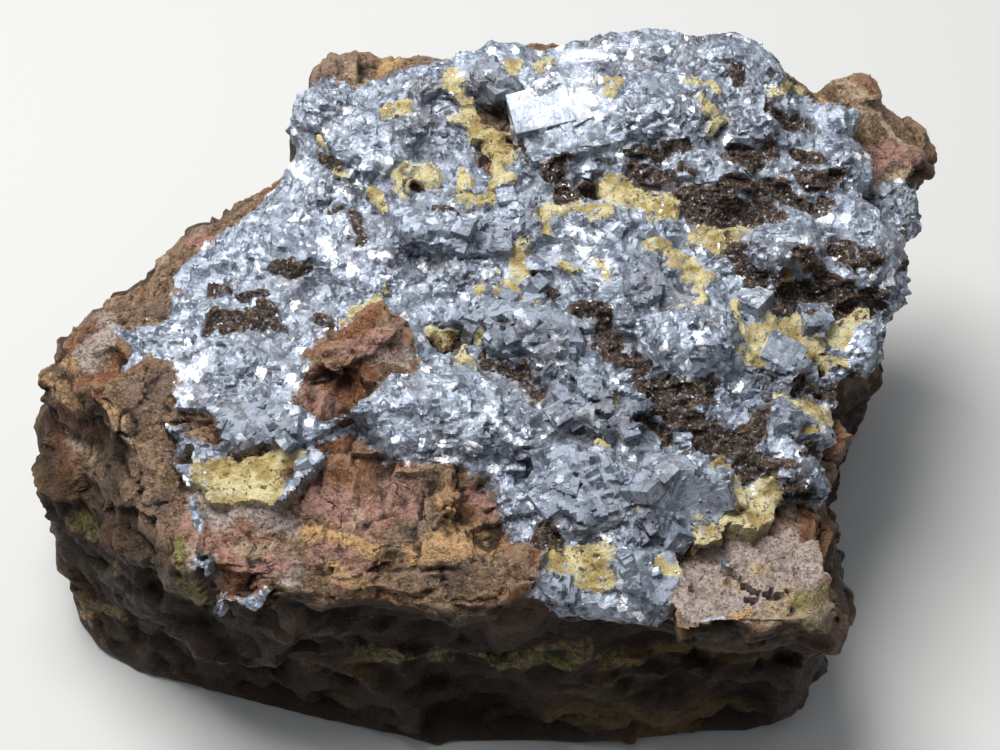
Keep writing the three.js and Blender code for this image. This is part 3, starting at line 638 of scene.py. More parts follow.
def near(points, places):
    """How deep each strayed point lies in any of the paths: 1 on a path, 0 from a third beyond its radius."""
    found = np.zeros(len(points))
    flatten = np.eye(3) - 0.7 * np.outer(ACROSS, ACROSS)
    points = points @ flatten
    for radius, *path in places.values():
        path = np.array(path, float) @ flatten
        reach = 1.34 * radius
        inside = np.all((points > path.min(axis=0) - reach) & (points < path.max(axis=0) + reach), axis=1)
        chosen = points[inside]
        for start, end in zip(path, path[1:] if len(path) > 1 else path):
            line = end - start
            share = np.clip((chosen - start) @ line / max(line @ line, 1e-9), 0, 1)
            far = np.linalg.norm(chosen - start - share[:, None] * line, axis=1)
            found[inside] = np.maximum(found[inside], 1 - far / reach)
    return np.clip(found, 0, 1)


# ---- Shaping ---------------------------------------------------------------------------------

def cleave(points, normals, grain, block, step, lean, salt):
    """Where the surface goes when it breaks along each grain's cleavage: flats with square steps."""
    cell, centre = grains(points, grain, salt)
    axes = frames(cell, normals, lean, salt)
    rows = np.arange(len(points))
    local = np.einsum("nij,nj->ni", axes, points - centre)
    facing = np.einsum("nij,nj->ni", axes, normals)
    up = np.abs(facing).argmax(axis=1)
    width = (block * (0.6 + 0.9 * hashed(cell, salt + 11)))[:, None]
    rise = step * (0.5 + hashed(cell, salt + 12))
    block_cell = np.floor(local / width)
    for axis in range(3):
        line = np.stack([block_cell[:, axis], cell[:, 0], cell[:, 1]], axis=1)
        start = (block_cell[:, axis] + 0.6 * hashed(line, salt + 14 + axis)) * width[:, 0]
        block_cell[:, axis] -= local[:, axis] < start
    shift = (block_cell + 0.8) * width - local
    shift[rows, up] = 0
    slope = (facing * shift).sum(axis=1) / facing[rows, up]
    slope = np.clip(slope, -width[:, 0], width[:, 0])
    block_cell[rows, up] = 0
    proud = hashed(block_cell + cell * 31, salt + 13) - 0.5
    height = local[rows, up] - slope + proud * rise
    local[rows, up] = np.round(height / rise) * rise
    return centre + np.einsum("nij,ni->nj", axes, local)


def facets(points, spacing, lean, salt):
    """Heights of a surface chipped into broad flat faces that meet in sharp ridges, in that spacing."""
    home = np.floor(points / spacing)
    lowest = np.full(len(points), np.inf)
    for offset in itertools.product((-1, 0, 1), repeat=3):
        cell = home + offset
        away = points - (cell + 0.15 + 0.7 * scattered(cell, salt)) * spacing
        tilt = (scattered(cell, salt + 3) - 0.5) * 2 * lean
        height = (away ** 2).sum(axis=1) * 0.22 / spacing + (away * tilt).sum(axis=1)
        height += spacing * 0.35 * (hashed(cell, salt + 6) - 0.5)
        lowest = np.minimum(lowest, height)
    return lowest


def crystal_heights(points, normals, spacing, salt):
    """How far crystals stand out of a surface: cubes set at random, each turned its own way."""
    home = np.floor(points / spacing)
    height = np.zeros(len(points))
    for offset in itertools.product((-1, 0, 1), repeat=3):
        cell = home + offset
        centre = (cell + 0.15 + 0.7 * scattered(cell, salt)) * spacing
        half = spacing * (0.2 + 0.36 * hashed(cell, salt + 3))
        up = unit(scattered(cell, salt + 4) - 0.5)
        side = unit(np.cross(up, scattered(cell, salt + 7) - 0.5))
        axes = np.stack([side, np.cross(up, side), up], axis=1)
        start = np.einsum("nij,nj->ni", axes, points - centre)
        along = np.einsum("nij,nj->ni", axes, normals)
        along = np.where(np.abs(along) < 1e-4, 1e-4, along)
        walls = np.abs(half[:, None] / along)
        middle = -start / along
        leave = (middle + walls).min(axis=1)
        enter = (middle - walls).max(axis=1)
        height = np.where((enter < leave) & (leave > height), leave, height)
    return height


def read_points(mesh):
    """The mesh's points in millimetres."""
    values = np.empty(len(mesh.vertices) * 3, np.float32)
    mesh.vertices.foreach_get("co", values)
    return values.reshape(-1, 3).astype(float) / MM


def read_normals(mesh):
    """The mesh's vertex normals."""
    values = np.empty(len(mesh.vertices) * 3, np.float32)
    mesh.vertex_normals.foreach_get("vector", values)
    return values.reshape(-1, 3).astype(float)


def write_points(mesh, points):
    """Moves the mesh's vertices to those points in millimetres."""
    mesh.vertices.foreach_set("co", (points * MM).astype(np.float32).ravel())
    mesh.update()


def blurred(mesh, values, times, share=1.0):
    """Values moved by that share towards their neighbours' mean, so many times."""
    ends = np.empty(len(mesh.edges) * 2, np.int32)
    mesh.edges.foreach_get("vertices", ends)
    a, b = ends.reshape(-1, 2).T
    count = len(mesh.vertices)
    degree = np.maximum(np.bincount(ends, minlength=count), 1)
    values = np.array(values, float)
    flat = values.reshape(count, -1)
    for _ in range(times):
        for column in flat.T:
            sums = np.bincount(a, column[b], count) + np.bincount(b, column[a], count)
            column += share * (sums / degree - column)
    return values


def write_attribute(mesh, name, values):
    """Stores one number or one vector per vertex."""
    kind, field = ("FLOAT", "value") if values.ndim == 1 else ("FLOAT_VECTOR", "vector")
    attribute = mesh.attributes.new(name, kind, "POINT")
    attribute.data.foreach_set(field, values.astype(np.float32).ravel())


def read_attribute(mesh, name):
    """The numbers or vectors stored on the vertices."""
    attribute = mesh.attributes[name]
    field, width = ("value", 1) if attribute.data_type == "FLOAT" else ("vector", 3)
    values = np.empty(len(mesh.vertices) * width, np.float32)
    attribute.data.foreach_get(field, values)
    return (values if width == 1 else values.reshape(-1, 3)).astype(float)


def hollowness(mesh, times):
    """How deep each vertex lies below its surroundings, in millimetres."""
    points = read_points(mesh)
    around = blurred(mesh, points, times)
    return ((around - points) * read_normals(mesh)).sum(axis=1)


def solids(node, lumps, blocks):
    """One shape of a CAD node's mesh, copied and merged, with rounded lumps and squared blocks set in it."""
    shape = bmesh.new()
    shape.from_mesh(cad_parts[node].data)
    bmesh.ops.remove_doubles(shape, verts=shape.verts, dist=0.001 * MM)
    for lump in lumps.values():
        bmesh.ops.create_icosphere(shape, subdivisions=4, radius=1, matrix=placed(*lump))
    for block in blocks.values():
        bmesh.ops.create_cube(shape, size=1, matrix=placed(*block))
    mesh = bpy.data.meshes.new(node)
    shape.to_mesh(mesh)
    shape.free()
    return mesh


def turned(turns):
    """The matrix of turns about x, y and z in degrees."""
    return Euler([math.radians(angle) for angle in turns]).to_matrix()


def placed(centre, widths, turns=(0, 0, 0)):
    """The matrix that scales, turns and moves a shape of size 1, from millimetres and degrees."""
    turn = turned(turns).to_4x4()
    scale = Matrix.Diagonal((*(Vector(widths) * MM), 1))
    return Matrix.Translation(Vector(centre) * MM) @ turn @ scale


def fused(meshes, quad):
    """One even mesh around several meshes."""
    shape = bmesh.new()
    for mesh in meshes:
        shape.from_mesh(mesh)
    joined = bpy.data.meshes.new("fused")
    shape.to_mesh(joined)
    shape.free()
    piece = bpy.data.objects.new("fused", joined)
    bpy.context.collection.objects.link(piece)
    modifier = piece.modifiers.new("Even quads", "REMESH")
    modifier.mode = "VOXEL"
    modifier.voxel_size = quad
    evaluated = piece.evaluated_get(bpy.context.evaluated_depsgraph_get())
    mesh = bpy.data.meshes.new_from_object(evaluated)
    bpy.data.objects.remove(piece)
    for attribute in list(mesh.attributes):
        if not attribute.is_required and not attribute.is_internal:
            mesh.attributes.remove(attribute)
    return mesh


def divide(shape, faces):
    """Cuts every edge of the faces once, and fills them with a grid."""
    edges = list({edge for face in faces for edge in face.edges})
    bmesh.ops.subdivide_edges(shape, edges=edges, cuts=1, use_grid_fill=True)
    bmesh.ops.triangulate(shape, faces=[face for face in shape.faces if len(face.verts) > 4])


def face_mean(mesh, values):
    """The mean of a vertex value over each face."""
    corners = np.empty(len(mesh.loops), np.int32)
    mesh.loops.foreach_get("vertex_index", corners)
    starts = np.empty(len(mesh.polygons), np.int32)
    mesh.polygons.foreach_get("loop_start", starts)
    totals = np.add.reduceat(values[corners], starts)
    counts = np.diff(np.append(starts, len(corners)))
    return totals / counts


def tree_of(mesh):
    """A search tree of the mesh, in metres."""
    vertices = [vertex.co for vertex in mesh.vertices]
    polygons = [tuple(polygon.vertices) for polygon in mesh.polygons]
    return BVHTree.FromPolygons(vertices, polygons)


def finished(piece, node=None, crease=30):
    """Joins a finished piece to the frame, with its creases sharp."""
    piece.data.shade_smooth()
    piece.data.set_sharp_from_angle(angle=math.radians(crease))
    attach(piece, BODY)
    if node:
        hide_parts(node)


# ---- Materials -------------------------------------------------------------------------------

def node(tree, kind, inputs=(), **settings):
    """Adds a node, sets its properties, and sets or links its inputs."""
    made = tree.nodes.new("ShaderNode" + kind)
    for name, value in settings.items():
        setattr(made, name, value)
    for name, value in dict(inputs).items():
        if isinstance(value, bpy.types.NodeSocket):
            tree.links.new(value, made.inputs[name])
        else:
            made.inputs[name].default_value = value
    return made


def new_material(name):
    """An empty material with its output, and the object's coordinates in millimetres."""
    material = bpy.data.materials.new(name)
    material.use_nodes = True
    tree = material.node_tree
    tree.nodes.clear()
    place = node(tree, "TexCoord").outputs["Object"]
    place = node(tree, "VectorMath", {0: place, "Scale": 1 / MM}, operation="SCALE").outputs[0]
    return material, tree, place


def texture_noise(tree, place, size, detail=3, roughness=0.55):
    """Noise from 0 to 1 with features of that size in millimetres."""
    made = node(tree, "TexNoise", {
        "Vector": place, "Scale": 1 / size, "Detail": detail, "Roughness": roughness,
    })
    return made.outputs["Fac"]


def between(tree, value, low, high, start=0.0, end=1.0):
    """Maps a value from low..high to start..end, smoothly."""
    made = node(tree, "MapRange", {
        "Value": value, "From Min": low, "From Max": high, "To Min": start, "To Max": end,
    }, interpolation_type="SMOOTHSTEP")
    return made.outputs["Result"]


def mixed(tree, factor, first, second):
    """Two colours mixed by a factor."""
    return node(tree, "Mix", {0: factor, 6: first, 7: second}, data_type="RGBA").outputs[2]


def mixed_value(tree, factor, first, second):
    """Two numbers mixed by a factor."""
    return node(tree, "Mix", {0: factor, 2: first, 3: second}, data_type="FLOAT").outputs[0]


def stored(tree, name):
    """A number stored on the vertices."""
    return node(tree, "Attribute", attribute_name=name).outputs["Fac"]


def maths(tree, operation, first, second, third=0.0):
    """A sum, product or other operation on two or three numbers."""
    return node(tree, "Math", {0: first, 1: second, 2: third}, operation=operation).outputs[0]


def vectors(tree, operation, first, second=(0, 0, 0)):
    """An operation on one or two vectors."""
    return node(tree, "VectorMath", {0: first, 1: second}, operation=operation).outputs[0]


def patch(tree, name, ragged, low=0.18, high=0.34, reach=1.8):
    """Where a stored place shows, with its edge broken up by noise and specks let through."""
    place = stored(tree, name)
    there = between(tree, place, 0.0, 0.15)
    swing = maths(tree, "MULTIPLY_ADD", ragged, reach, -reach / 2)
    return between(tree, maths(tree, "MULTIPLY_ADD", swing, there, place), low, high)


# Tints of the looks that no setting changes.
TINTS = {name: linear(value) for name, value in {
    "galena_line": "#3a3f47", "tarnish_shade": "#5b626d", "brown_dust": "#5e5149", "galena_pit": "#2b2f36",
    "painted_highlight_grey": "#b9c1cc", "sparkle": "#dfe4ea", "flash": "#f6f8fa", "valley": "#352c26",
    "painted_hollow_shade": "#2b2624", "rust": "#8a5433", "purple_rock": "#7a665f", "bedding": "#a8935c",
    "stain_shade": "#3a2a20", "coat_chips": "#8a7a70", "pale_speckle": "#c2ad94", "dark_speckle": "#1e1611",
    "crack": "#1a120e", "foot": "#20150a", "streak_and_ridge_highlight": "#7a5f36", "dark_ochre": "#a38d54",
    "ochre_speck": "#5b4a2c",
}.items()}


def shifted(tree, place, warp, reach):
    """Places moved by a noise colour, so that the cells of a pattern bend; the reach is in millimetres."""
    moved = node(tree, "VectorMath", {0: warp, 1: (reach, reach, reach), 2: place}, operation="MULTIPLY_ADD")
    return moved.outputs[0]


def tipped(tree, tip, amount):
    """The surface's normal leant by a vector, which gives each fine facet a way of its own to face."""
    lean = node(tree, "VectorMath", {0: tip, "Scale": amount}, operation="SCALE").outputs[0]
    return vectors(tree, "NORMALIZE", vectors(tree, "ADD", node(tree, "NewGeometry").outputs["Normal"], lean))


def galena_look(tree, place, settings):
    """Colour, metal, roughness and normal of galena: lead-grey cleavage faces, each tipped its own way, with
    painted highlights where faces glint and painted shade in hollows and valleys.
    """
    width = settings.facet / MM
    wander = node(tree, "TexNoise", {"Vector": place, "Scale": 1 / 1.8, "Detail": 3}).outputs["Color"]
    bent = shifted(tree, place, wander, 1.6)
    faces = node(tree, "TexVoronoi", {"Vector": bent, "Scale": 1 / width}).outputs["Color"]
    small = node(tree, "TexVoronoi", {"Vector": bent, "Scale": 2.6 / width}).outputs["Color"]
    grain = node(tree, "TexVoronoi", {"Vector": bent, "Scale": 1 / (3.4 * width)}).outputs["Color"]
    chance = node(tree, "SeparateColor", {0: faces}).outputs
    small_chance = node(tree, "SeparateColor", {0: small}).outputs
    along_grain = node(
        tree, "VectorRotate", {"Vector": place, "Rotation": vectors(tree, "MULTIPLY", grain, (6, 6, 6))},
        rotation_type="EULER_XYZ",
    ).outputs[0]
    along_grain = vectors(tree, "MULTIPLY", along_grain, (0.3, 4, 1.0))
    lines = texture_noise(tree, along_grain, 1.3, detail=4, roughness=0.7)
    grit = texture_noise(tree, place, 0.5, detail=3, roughness=0.7)
    wear = texture_noise(tree, place, 4, detail=5, roughness=0.65)
    half = (0.5, 0.5, 0.5)
    small_tip = vectors(tree, "MULTIPLY", vectors(tree, "SUBTRACT", small, half), (0.7, 0.7, 0.7))
    tip = vectors(tree, "ADD", vectors(tree, "SUBTRACT", faces, half), small_tip)
    dull = patch(tree, "dull", wear, low=0.1, high=0.3)
    # Painted highlights: the stored places where faces catch the light, and the core of each, are painted
    # pale to near white below.
    painted_highlight = stored(tree, "painted_highlight")
    glint = between(tree, maths(tree, "MULTIPLY_ADD", painted_highlight, 0.3, chance["Green"]), 0.95, 0.97)
    highlight_core = between(tree, maths(tree, "MULTIPLY_ADD", chance["Blue"], 0.4, painted_highlight), 0.8, 0.85)
    normal = tipped(tree, tip, between(tree, maths(tree, "MAXIMUM", dull, highlight_core), 0, 1, 0.3, 0.18))
    relief = maths(tree, "MULTIPLY_ADD", lines, 1.2, grit)
    normal = node(tree, "Bump", {
        "Strength": 0.8, "Distance": 0.16 * MM, "Height": relief, "Normal": normal,
    }).outputs[0]
    tone = mixed_value(tree, 0.4, chance["Red"], small_chance["Red"])
    tone = mixed_value(tree, 0.4, tone, wear)
    base = mixed(tree, between(tree, tone, 0.3, 0.62), settings.grey, settings.fresh)
    base = mixed(tree, between(tree, lines, 0.46, 0.3, 0.0, 0.45), base, TINTS["galena_line"])
    patina = mixed(tree, between(tree, tone, 0.3, 0.62), TINTS["tarnish_shade"], settings.tarnish)
    base = mixed(tree, dull, base, patina)
    dust = texture_noise(tree, place, 7, detail=7, roughness=0.75)
    base = mixed(tree, between(tree, dust, 0.5, 0.62, 0.0, 0.42), base, TINTS["brown_dust"])
    base = mixed(tree, between(tree, grit, 0.42, 0.3, 0.0, 0.5), base, TINTS["galena_pit"])
    # Painted highlight: the flash paints glint cells and highlight cores near white, and makes them more
    # metallic.
    flash = maths(tree, "MULTIPLY", maths(tree, "MAXIMUM", glint, highlight_core), between(tree, lines, 0.35, 0.5))
    flash = maths(tree, "MULTIPLY", flash, between(tree, dull, 0, 1, 1, 0.3))
    # Painted highlight: the galena is painted paler towards the places where its faces catch the light.
    base = mixed(tree, between(tree, painted_highlight, 0, 0.6, 0, 0.5), base, TINTS["painted_highlight_grey"])
    # Painted highlight: a few small cells are painted near white as sparkle.
    sparkle = between(tree, small_chance["Blue"], 0.86, 0.9)
    sparkle = maths(tree, "MULTIPLY", sparkle, between(tree, dull, 0, 1, 0.32, 0.08))
    base = mixed(tree, sparkle, base, TINTS["sparkle"])
    base = mixed(tree, flash, base, TINTS["flash"])
    # Painted shade: the broad valleys between the lumps, broken up by noise, are painted dark brown.
    low = maths(tree, "MULTIPLY_ADD", maths(tree, "SUBTRACT", wear, 0.5), 2.0, stored(tree, "valley"))
    base = mixed(tree, between(tree, low, 0.3, 1.6, 0.0, 0.75), base, TINTS["valley"])
    # Painted shade: small hollows of the galena are painted darker.
    hollow = between(tree, stored(tree, "hollow"), 0.12, 0.55, 0.0, 0.6)
    base = mixed(tree, hollow, base, TINTS["painted_hollow_shade"])
    metal = mixed_value(tree, dull, mixed_value(tree, flash, 0.45, 0.7), 0.2)
    roughness = mixed_value(tree, small_chance["Green"], 0.36, 0.58)
    roughness = mixed_value(tree, dull, roughness, 0.6)
    return base, metal, roughness, normal


def limonite_look(tree, place, settings):
    """Colour, metal, roughness and normal of the host rock: earthy brown to rust, painted darker in hollows,
    low down and on steep faces as painted shade over dark rock, and lighter on crests as painted highlight.
    """
    broad = texture_noise(tree, place, 12, detail=4)
    middle = texture_noise(tree, place, 3.2, detail=8, roughness=0.7)
    fine = texture_noise(tree, place, 0.9, detail=6, roughness=0.8)
    ragged = mixed_value(tree, 0.5, middle, fine)
    base = mixed(tree, between(tree, ragged, 0.42, 0.68), settings.chocolate, settings.tan)
    base = mixed(tree, between(tree, broad, 0.5, 0.6, 0.0, 0.75), base, TINTS["rust"])
    base = mixed(tree, between(tree, broad, 0.46, 0.38, 0.0, 0.6), base, TINTS["purple_rock"])
    # Tan streaks and painted highlight: the crests of the grooves are painted lighter.
    streak_and_ridge_highlight = maths(tree, "MULTIPLY", stored(tree, "groove"), ragged)
    base = mixed(tree, between(tree, streak_and_ridge_highlight, 0.3, 0.5, 0.0, 0.7), base, TINTS["bedding"])
    for name in ("grey", "red", "orange", "clay", "green"):
        tone = getattr(settings, name)
        darker = mixed(tree, 0.6, tone, TINTS["stain_shade"])
        shade = mixed(tree, between(tree, fine, 0.38, 0.58), darker, tone)
        base = mixed(tree, patch(tree, name, ragged, low=0.0, high=0.6, reach=2.0), base, shade)
    coat = mixed(tree, between(tree, fine, 0.48, 0.66), settings.coat, TINTS["coat_chips"])
    base = mixed(tree, patch(tree, "brown", ragged), base, coat)
    speckle = texture_noise(tree, place, 0.4, detail=3, roughness=0.7)
    base = mixed(tree, between(tree, speckle, 0.56, 0.68, 0.0, 0.6), base, TINTS["pale_speckle"])
    base = mixed(tree, between(tree, speckle, 0.46, 0.32, 0.0, 0.75), base, TINTS["dark_speckle"])
    warp = node(tree, "TexNoise", {"Vector": place, "Scale": 1 / 6, "Detail": 5}).outputs["Color"]
    warped = shifted(tree, place, warp, 9)
    crack = node(tree, "TexVoronoi", {"Vector": warped, "Scale": 1 / 7}, feature="DISTANCE_TO_EDGE")
    crack = between(tree, crack.outputs["Distance"], 0.0, 0.02, 1.0, 0.0)
    crack = maths(tree, "MULTIPLY", crack, between(tree, middle, 0.45, 0.6))
    hollow = stored(tree, "hollow")
    low = maths(tree, "MULTIPLY_ADD", maths(tree, "SUBTRACT", ragged, 0.5), 2.0, stored(tree, "valley"))
    rise = node(tree, "SeparateXYZ", {0: place}).outputs["Z"]
    # Painted shade over dark rock: the rock is darkened low down and on steep faces.
    foot = between(tree, rise, 37, 27, 0.0, 0.9)
    foot = maths(tree, "MAXIMUM", foot, between(tree, stored(tree, "steep"), 0, 1, 0, 0.75))
    calm = maths(tree, "MAXIMUM", patch(tree, "brown", ragged), between(tree, stored(tree, "grey"), 0.0, 0.3))
    wild = maths(tree, "SUBTRACT", 1.0, maths(tree, "MULTIPLY", calm, 0.75))
    # Painted shade and cracks: hollows and broad valleys are painted near black as painted shade, and the
    # crack lines are dark joints; both are calmer on brown and grey patches.
    dark = maths(tree, "MAXIMUM", between(tree, hollow, 0.06, 0.4, 0.0, 0.85), crack)
    dark = maths(tree, "MAXIMUM", maths(tree, "MULTIPLY", dark, wild), between(tree, low, 0.8, 3.0, 0.0, 0.7))
    base = mixed(tree, dark, base, TINTS["crack"])
    # Painted highlight and worn edges: crests that stand out are painted lighter tan.
    crest_wear_and_highlight = maths(tree, "MULTIPLY", between(tree, hollow, -0.04, -0.28, 0.0, 0.4), wild)
    base = mixed(tree, crest_wear_and_highlight, base, settings.tan)
    lit = maths(tree, "MAXIMUM", between(tree, stored(tree, "green"), 0.05, 0.3),
                between(tree, stored(tree, "orange"), 0.05, 0.3))
    lit = maths(tree, "MULTIPLY", lit, between(tree, fine, 0.4, 0.58, 0.1, 0.75))
    # The painted shade over dark rock is kept off the green and orange stains, then mixed in.
    foot = maths(tree, "MULTIPLY", foot, maths(tree, "SUBTRACT", 1.0, lit))
    base = mixed(tree, foot, base, TINTS["foot"])
    # Tan streaks and painted highlight, laid again over the darkened low and steep rock along the groove
    # crests.
    base = mixed(tree, between(tree, streak_and_ridge_highlight, 0.27, 0.42, 0.0, 0.6), base, TINTS["streak_and_ridge_highlight"])
    height = maths(tree, "MULTIPLY_ADD", fine, 0.7, middle)
    height = maths(tree, "MULTIPLY_ADD", speckle, 0.35, height)
    height = maths(tree, "MULTIPLY_ADD", crack, -0.25, height)
    bent = shifted(tree, place, warp, 3)
    faces = node(tree, "TexVoronoi", {"Vector": bent, "Scale": 1 / 1.5}).outputs["Color"]
    grit = node(tree, "TexVoronoi", {"Vector": bent, "Scale": 1 / 0.5}).outputs["Color"]
    tip = vectors(tree, "SUBTRACT", mixed(tree, 0.4, faces, grit), (0.5, 0.5, 0.5))
    normal = tipped(tree, tip, 0.75)
    normal = node(tree, "Bump", {
        "Strength": 1.0, "Distance": 1.2 * MM, "Height": height, "Normal": normal,
    }).outputs[0]
    return base, 0.0, between(tree, speckle, 0.35, 0.65, 0.3, 0.7), normal


def ochre_look(tree, place, settings):
    """Colour, metal, roughness and normal of ochre: pale yellow powder with dark specks."""
    grit = texture_noise(tree, place, 0.8, detail=5, roughness=0.75)
    broad = texture_noise(tree, place, 3, detail=4, roughness=0.6)
    base = mixed(tree, between(tree, broad, 0.38, 0.6), TINTS["dark_ochre"], settings.ochre)
    base = mixed(tree, between(tree, grit, 0.44, 0.32), base, TINTS["ochre_speck"])
    height = maths(tree, "ADD", grit, broad)
    normal = node(tree, "Bump", {"Strength": 1.0, "Distance": 0.9 * MM, "Height": height}).outputs[0]
    return base, 0.0, 0.9, normal


def layered(tree, factor, below, above):
    """One look laid over another where the factor is 1."""
    base = mixed(tree, factor, below[0], above[0])
    metal = mixed_value(tree, factor, below[1], above[1])
    roughness = mixed_value(tree, factor, below[2], above[2])
    normal = node(tree, "Mix", {0: factor, 4: below[3], 5: above[3]}, data_type="VECTOR").outputs[1]
    return base, metal, roughness, normal


def specimen_material(name, galena, rock):
    """A material of galena, host rock and ochre, each where the surface's stored numbers say.

    Galena, lead sulphide: opaque blue-grey metal that breaks into cubes and flashes from their flat faces.
    Limonite: iron hydroxide rock, broken and weathered, earthy with glossier chips. Ochre: the same iron as
    loose powder.
    """
    material, tree, place = new_material(name)
    broken = texture_noise(tree, place, 1.5, detail=7, roughness=0.75)
    lead = maths(tree, "MULTIPLY_ADD", maths(tree, "SUBTRACT", broken, 0.5), 3.0, stored(tree, "lead"))
    specks = texture_noise(tree, place, 0.7, detail=3, roughness=0.6)
    brown = maths(tree, "MULTIPLY", patch(tree, "brown", broken), between(tree, specks, 0.62, 0.6))
    lead = between(tree, maths(tree, "MULTIPLY_ADD", brown, -4.0, lead), -0.06, 0.06)
    look = layered(tree, lead, limonite_look(tree, place, rock), galena_look(tree, place, galena))
    ochre = maths(tree, "MULTIPLY", patch(tree, "ochre", broken, reach=2.4), between(tree, specks, 0.4, 0.42))
    look = layered(tree, ochre, look, ochre_look(tree, place, galena))
    base, metal, roughness, normal = look
    surface = node(tree, "BsdfPrincipled", {
        "Base Color": base, "Metallic": metal, "Roughness": roughness, "Normal": normal,
        "Specular IOR Level": 0.35,
    }).outputs[0]
    node(tree, "OutputMaterial", {"Surface": surface})
    return material


# ---- The broken surface ------------------------------------------------------------------------

# The deepest hollow left open between two lumps, in millimetres.
DEEPEST = 1.6
# The seed of the galena's grains, which its crystals share.
GRAIN_SALT = 60
# The rock is divided finer where it faces this way, above this height in millimetres.
FINE_ROCK = {"facing": Vector((0, -0.6, 0.8)), "least": 0.25, "above": 26}
# The scattered crystals: seed, lowest place and worn edge in millimetres, and lean off the surface.
SCATTER = {"seed": 24, "above": 32, "worn": 0.07, "lean": 0.7}


def on_left_face(points):
    """1 on the specimen's left face, 0 on the rest."""
    return smoothstep(-28, -40, points[:, 0])


def leading(points, contact):
    """Galena where above 0, host rock where below, from how much nearer the galena solids are."""
    spread = strayed(points)
    lead = np.clip(contact / 2.5, -1, 1) + 0.3 * fractal(points, 4, 3, 47)
    return lead + 3.0 * near(spread, FILM) - 2.0 * near(spread, ROCK_OVER)


def broken_galena(points, normals, settings, coat, crystals):
    """Crystals, chipped faces and cleavage steps; a coat of limonite or ochre softens them."""
    points = points + normals * (fractal(points, 7, 2, 40) * 0.4)[:, None]
    spacing = settings.crystal / MM
    height = facets(points, spacing, 0.45, 300) + facets(points, spacing * 0.42, 0.55, 320) * 0.8 + 0.5
    cubes = np.minimum(crystal_heights(points, normals, spacing * 1.2, 110), 1.3)
    height = height * (1 - 0.6 * crystals) + cubes * crystals
    stepped = cleave(
        points, normals, settings.grain / MM, settings.block / MM, settings.step / MM, settings.lean,
        GRAIN_SALT,
    )
    pick = smoothstep(0.05, 0.15, noise(points, 6, 70))[:, None] * 0.8
    broken = points * (1 - pick) + stepped * pick + normals * (height * (1 - 0.5 * pick[:, 0]))[:, None]
    flakes = facets(points * (0.7, 1.1, 1.3), 1.7, 0.6, 45)
    flakes += chips(points * (1, 1.2, 1.6), 1.2, 0.5, 47) * 0.7
    rough = points + normals * (flakes * 1.2 + 0.5)[:, None]
    return broken * (1 - coat[:, None]) + rough * coat[:, None]


def folds(points, spacing, salt):
    """Crumpled ridges and creases, about 0 on average."""
    warped = points + 0.35 * spacing * noise(points, spacing * 1.7, salt + 1)[:, None]
    return 0.62 - np.abs(noise(warped, spacing, salt)) - np.abs(noise(warped, spacing * 0.47, salt + 2)) * 0.5


def chips(points, spacing, slope, salt):
    """Heights of broken chips: each cell of the rock has a break plane of its own."""
    cell, centre = grains(points, spacing, salt)
    tilt = (scattered(cell, salt + 5) - 0.5) * 2 * slope
    return ((points - centre) * tilt).sum(axis=1)


def broken_rock(points, normals, groove):
    """Chipped faces, folds and bedding of the host rock, calmer where it lies flat."""
    left = on_left_face(points)
    flat = smoothstep(0.35, 0.75, normals[:, 2])
    bent = points + 0.6 * noise(points, 3, 15)[:, None]
    large = facets(points, 9, 0.42, 10) + 1.3 + chips(bent * (1, 1, 1.5), 6, 0.45, 20) * 0.6
    large += folds(points * (1, 1, 1.8), 4.2, 30) * 0.3 + (groove - 0.3) * (1.4 + 0.8 * left)
    away = np.linalg.norm(points - KNOB_GROOVE[0], axis=1)
    large -= smoothstep(1.5, 0, np.abs(away - KNOB_GROOVE[1])) * 1.5
    small = facets(bent * (1, 1, 1.3), 3, 0.5, 25) * 0.7 + 0.4 - folds(points, 1.5, 34) * 0.25
    small += chips(points * (1, 1, 1.3), 1.4, 0.5, 27) * 0.35
    crease = 1 - np.abs(noise(points, 8, 61) + 0.25 * noise(points, 2, 62))
    small -= smoothstep(0.95, 1.0, crease) * 0.5
    small += ridges(points, (0, -0.6, -0.8), (1, 0, 0), 1.8, 52) * near(strayed(points), STRIAE) * 1.4
    return points + normals * (large * (1 - 0.5 * flat) + small * (1 - 0.1 * flat))[:, None]


def grooves(points, normals):
    """Crests from 0 to 1: bedding along the front and back, slanting streaks on the left face."""
    side = smoothstep(0.65, 0.2, normals[:, 2])
    left = on_left_face(points) * side
    level, slant = ((1, 0.1, 0.12), (0, 0.2, 1)), ((0.48, -0.38, -0.79), (0.63, -0.43, 0.59))
    bedding = ridges(points, *level, 5, 50) * 0.6 + ridges(points, *level, 1.9, 54) * 0.4
    streaks = ridges(points, *slant, 3.6, 51) * 0.5 + ridges(points, *slant, 1.8, 53) * 0.5
    patches = smoothstep(-0.3, 0.3, noise(points, 15, 55))
    return (bedding * side * (1 - left) * patches + streaks * left) * (1 - 0.4 * left * (1 - patches))


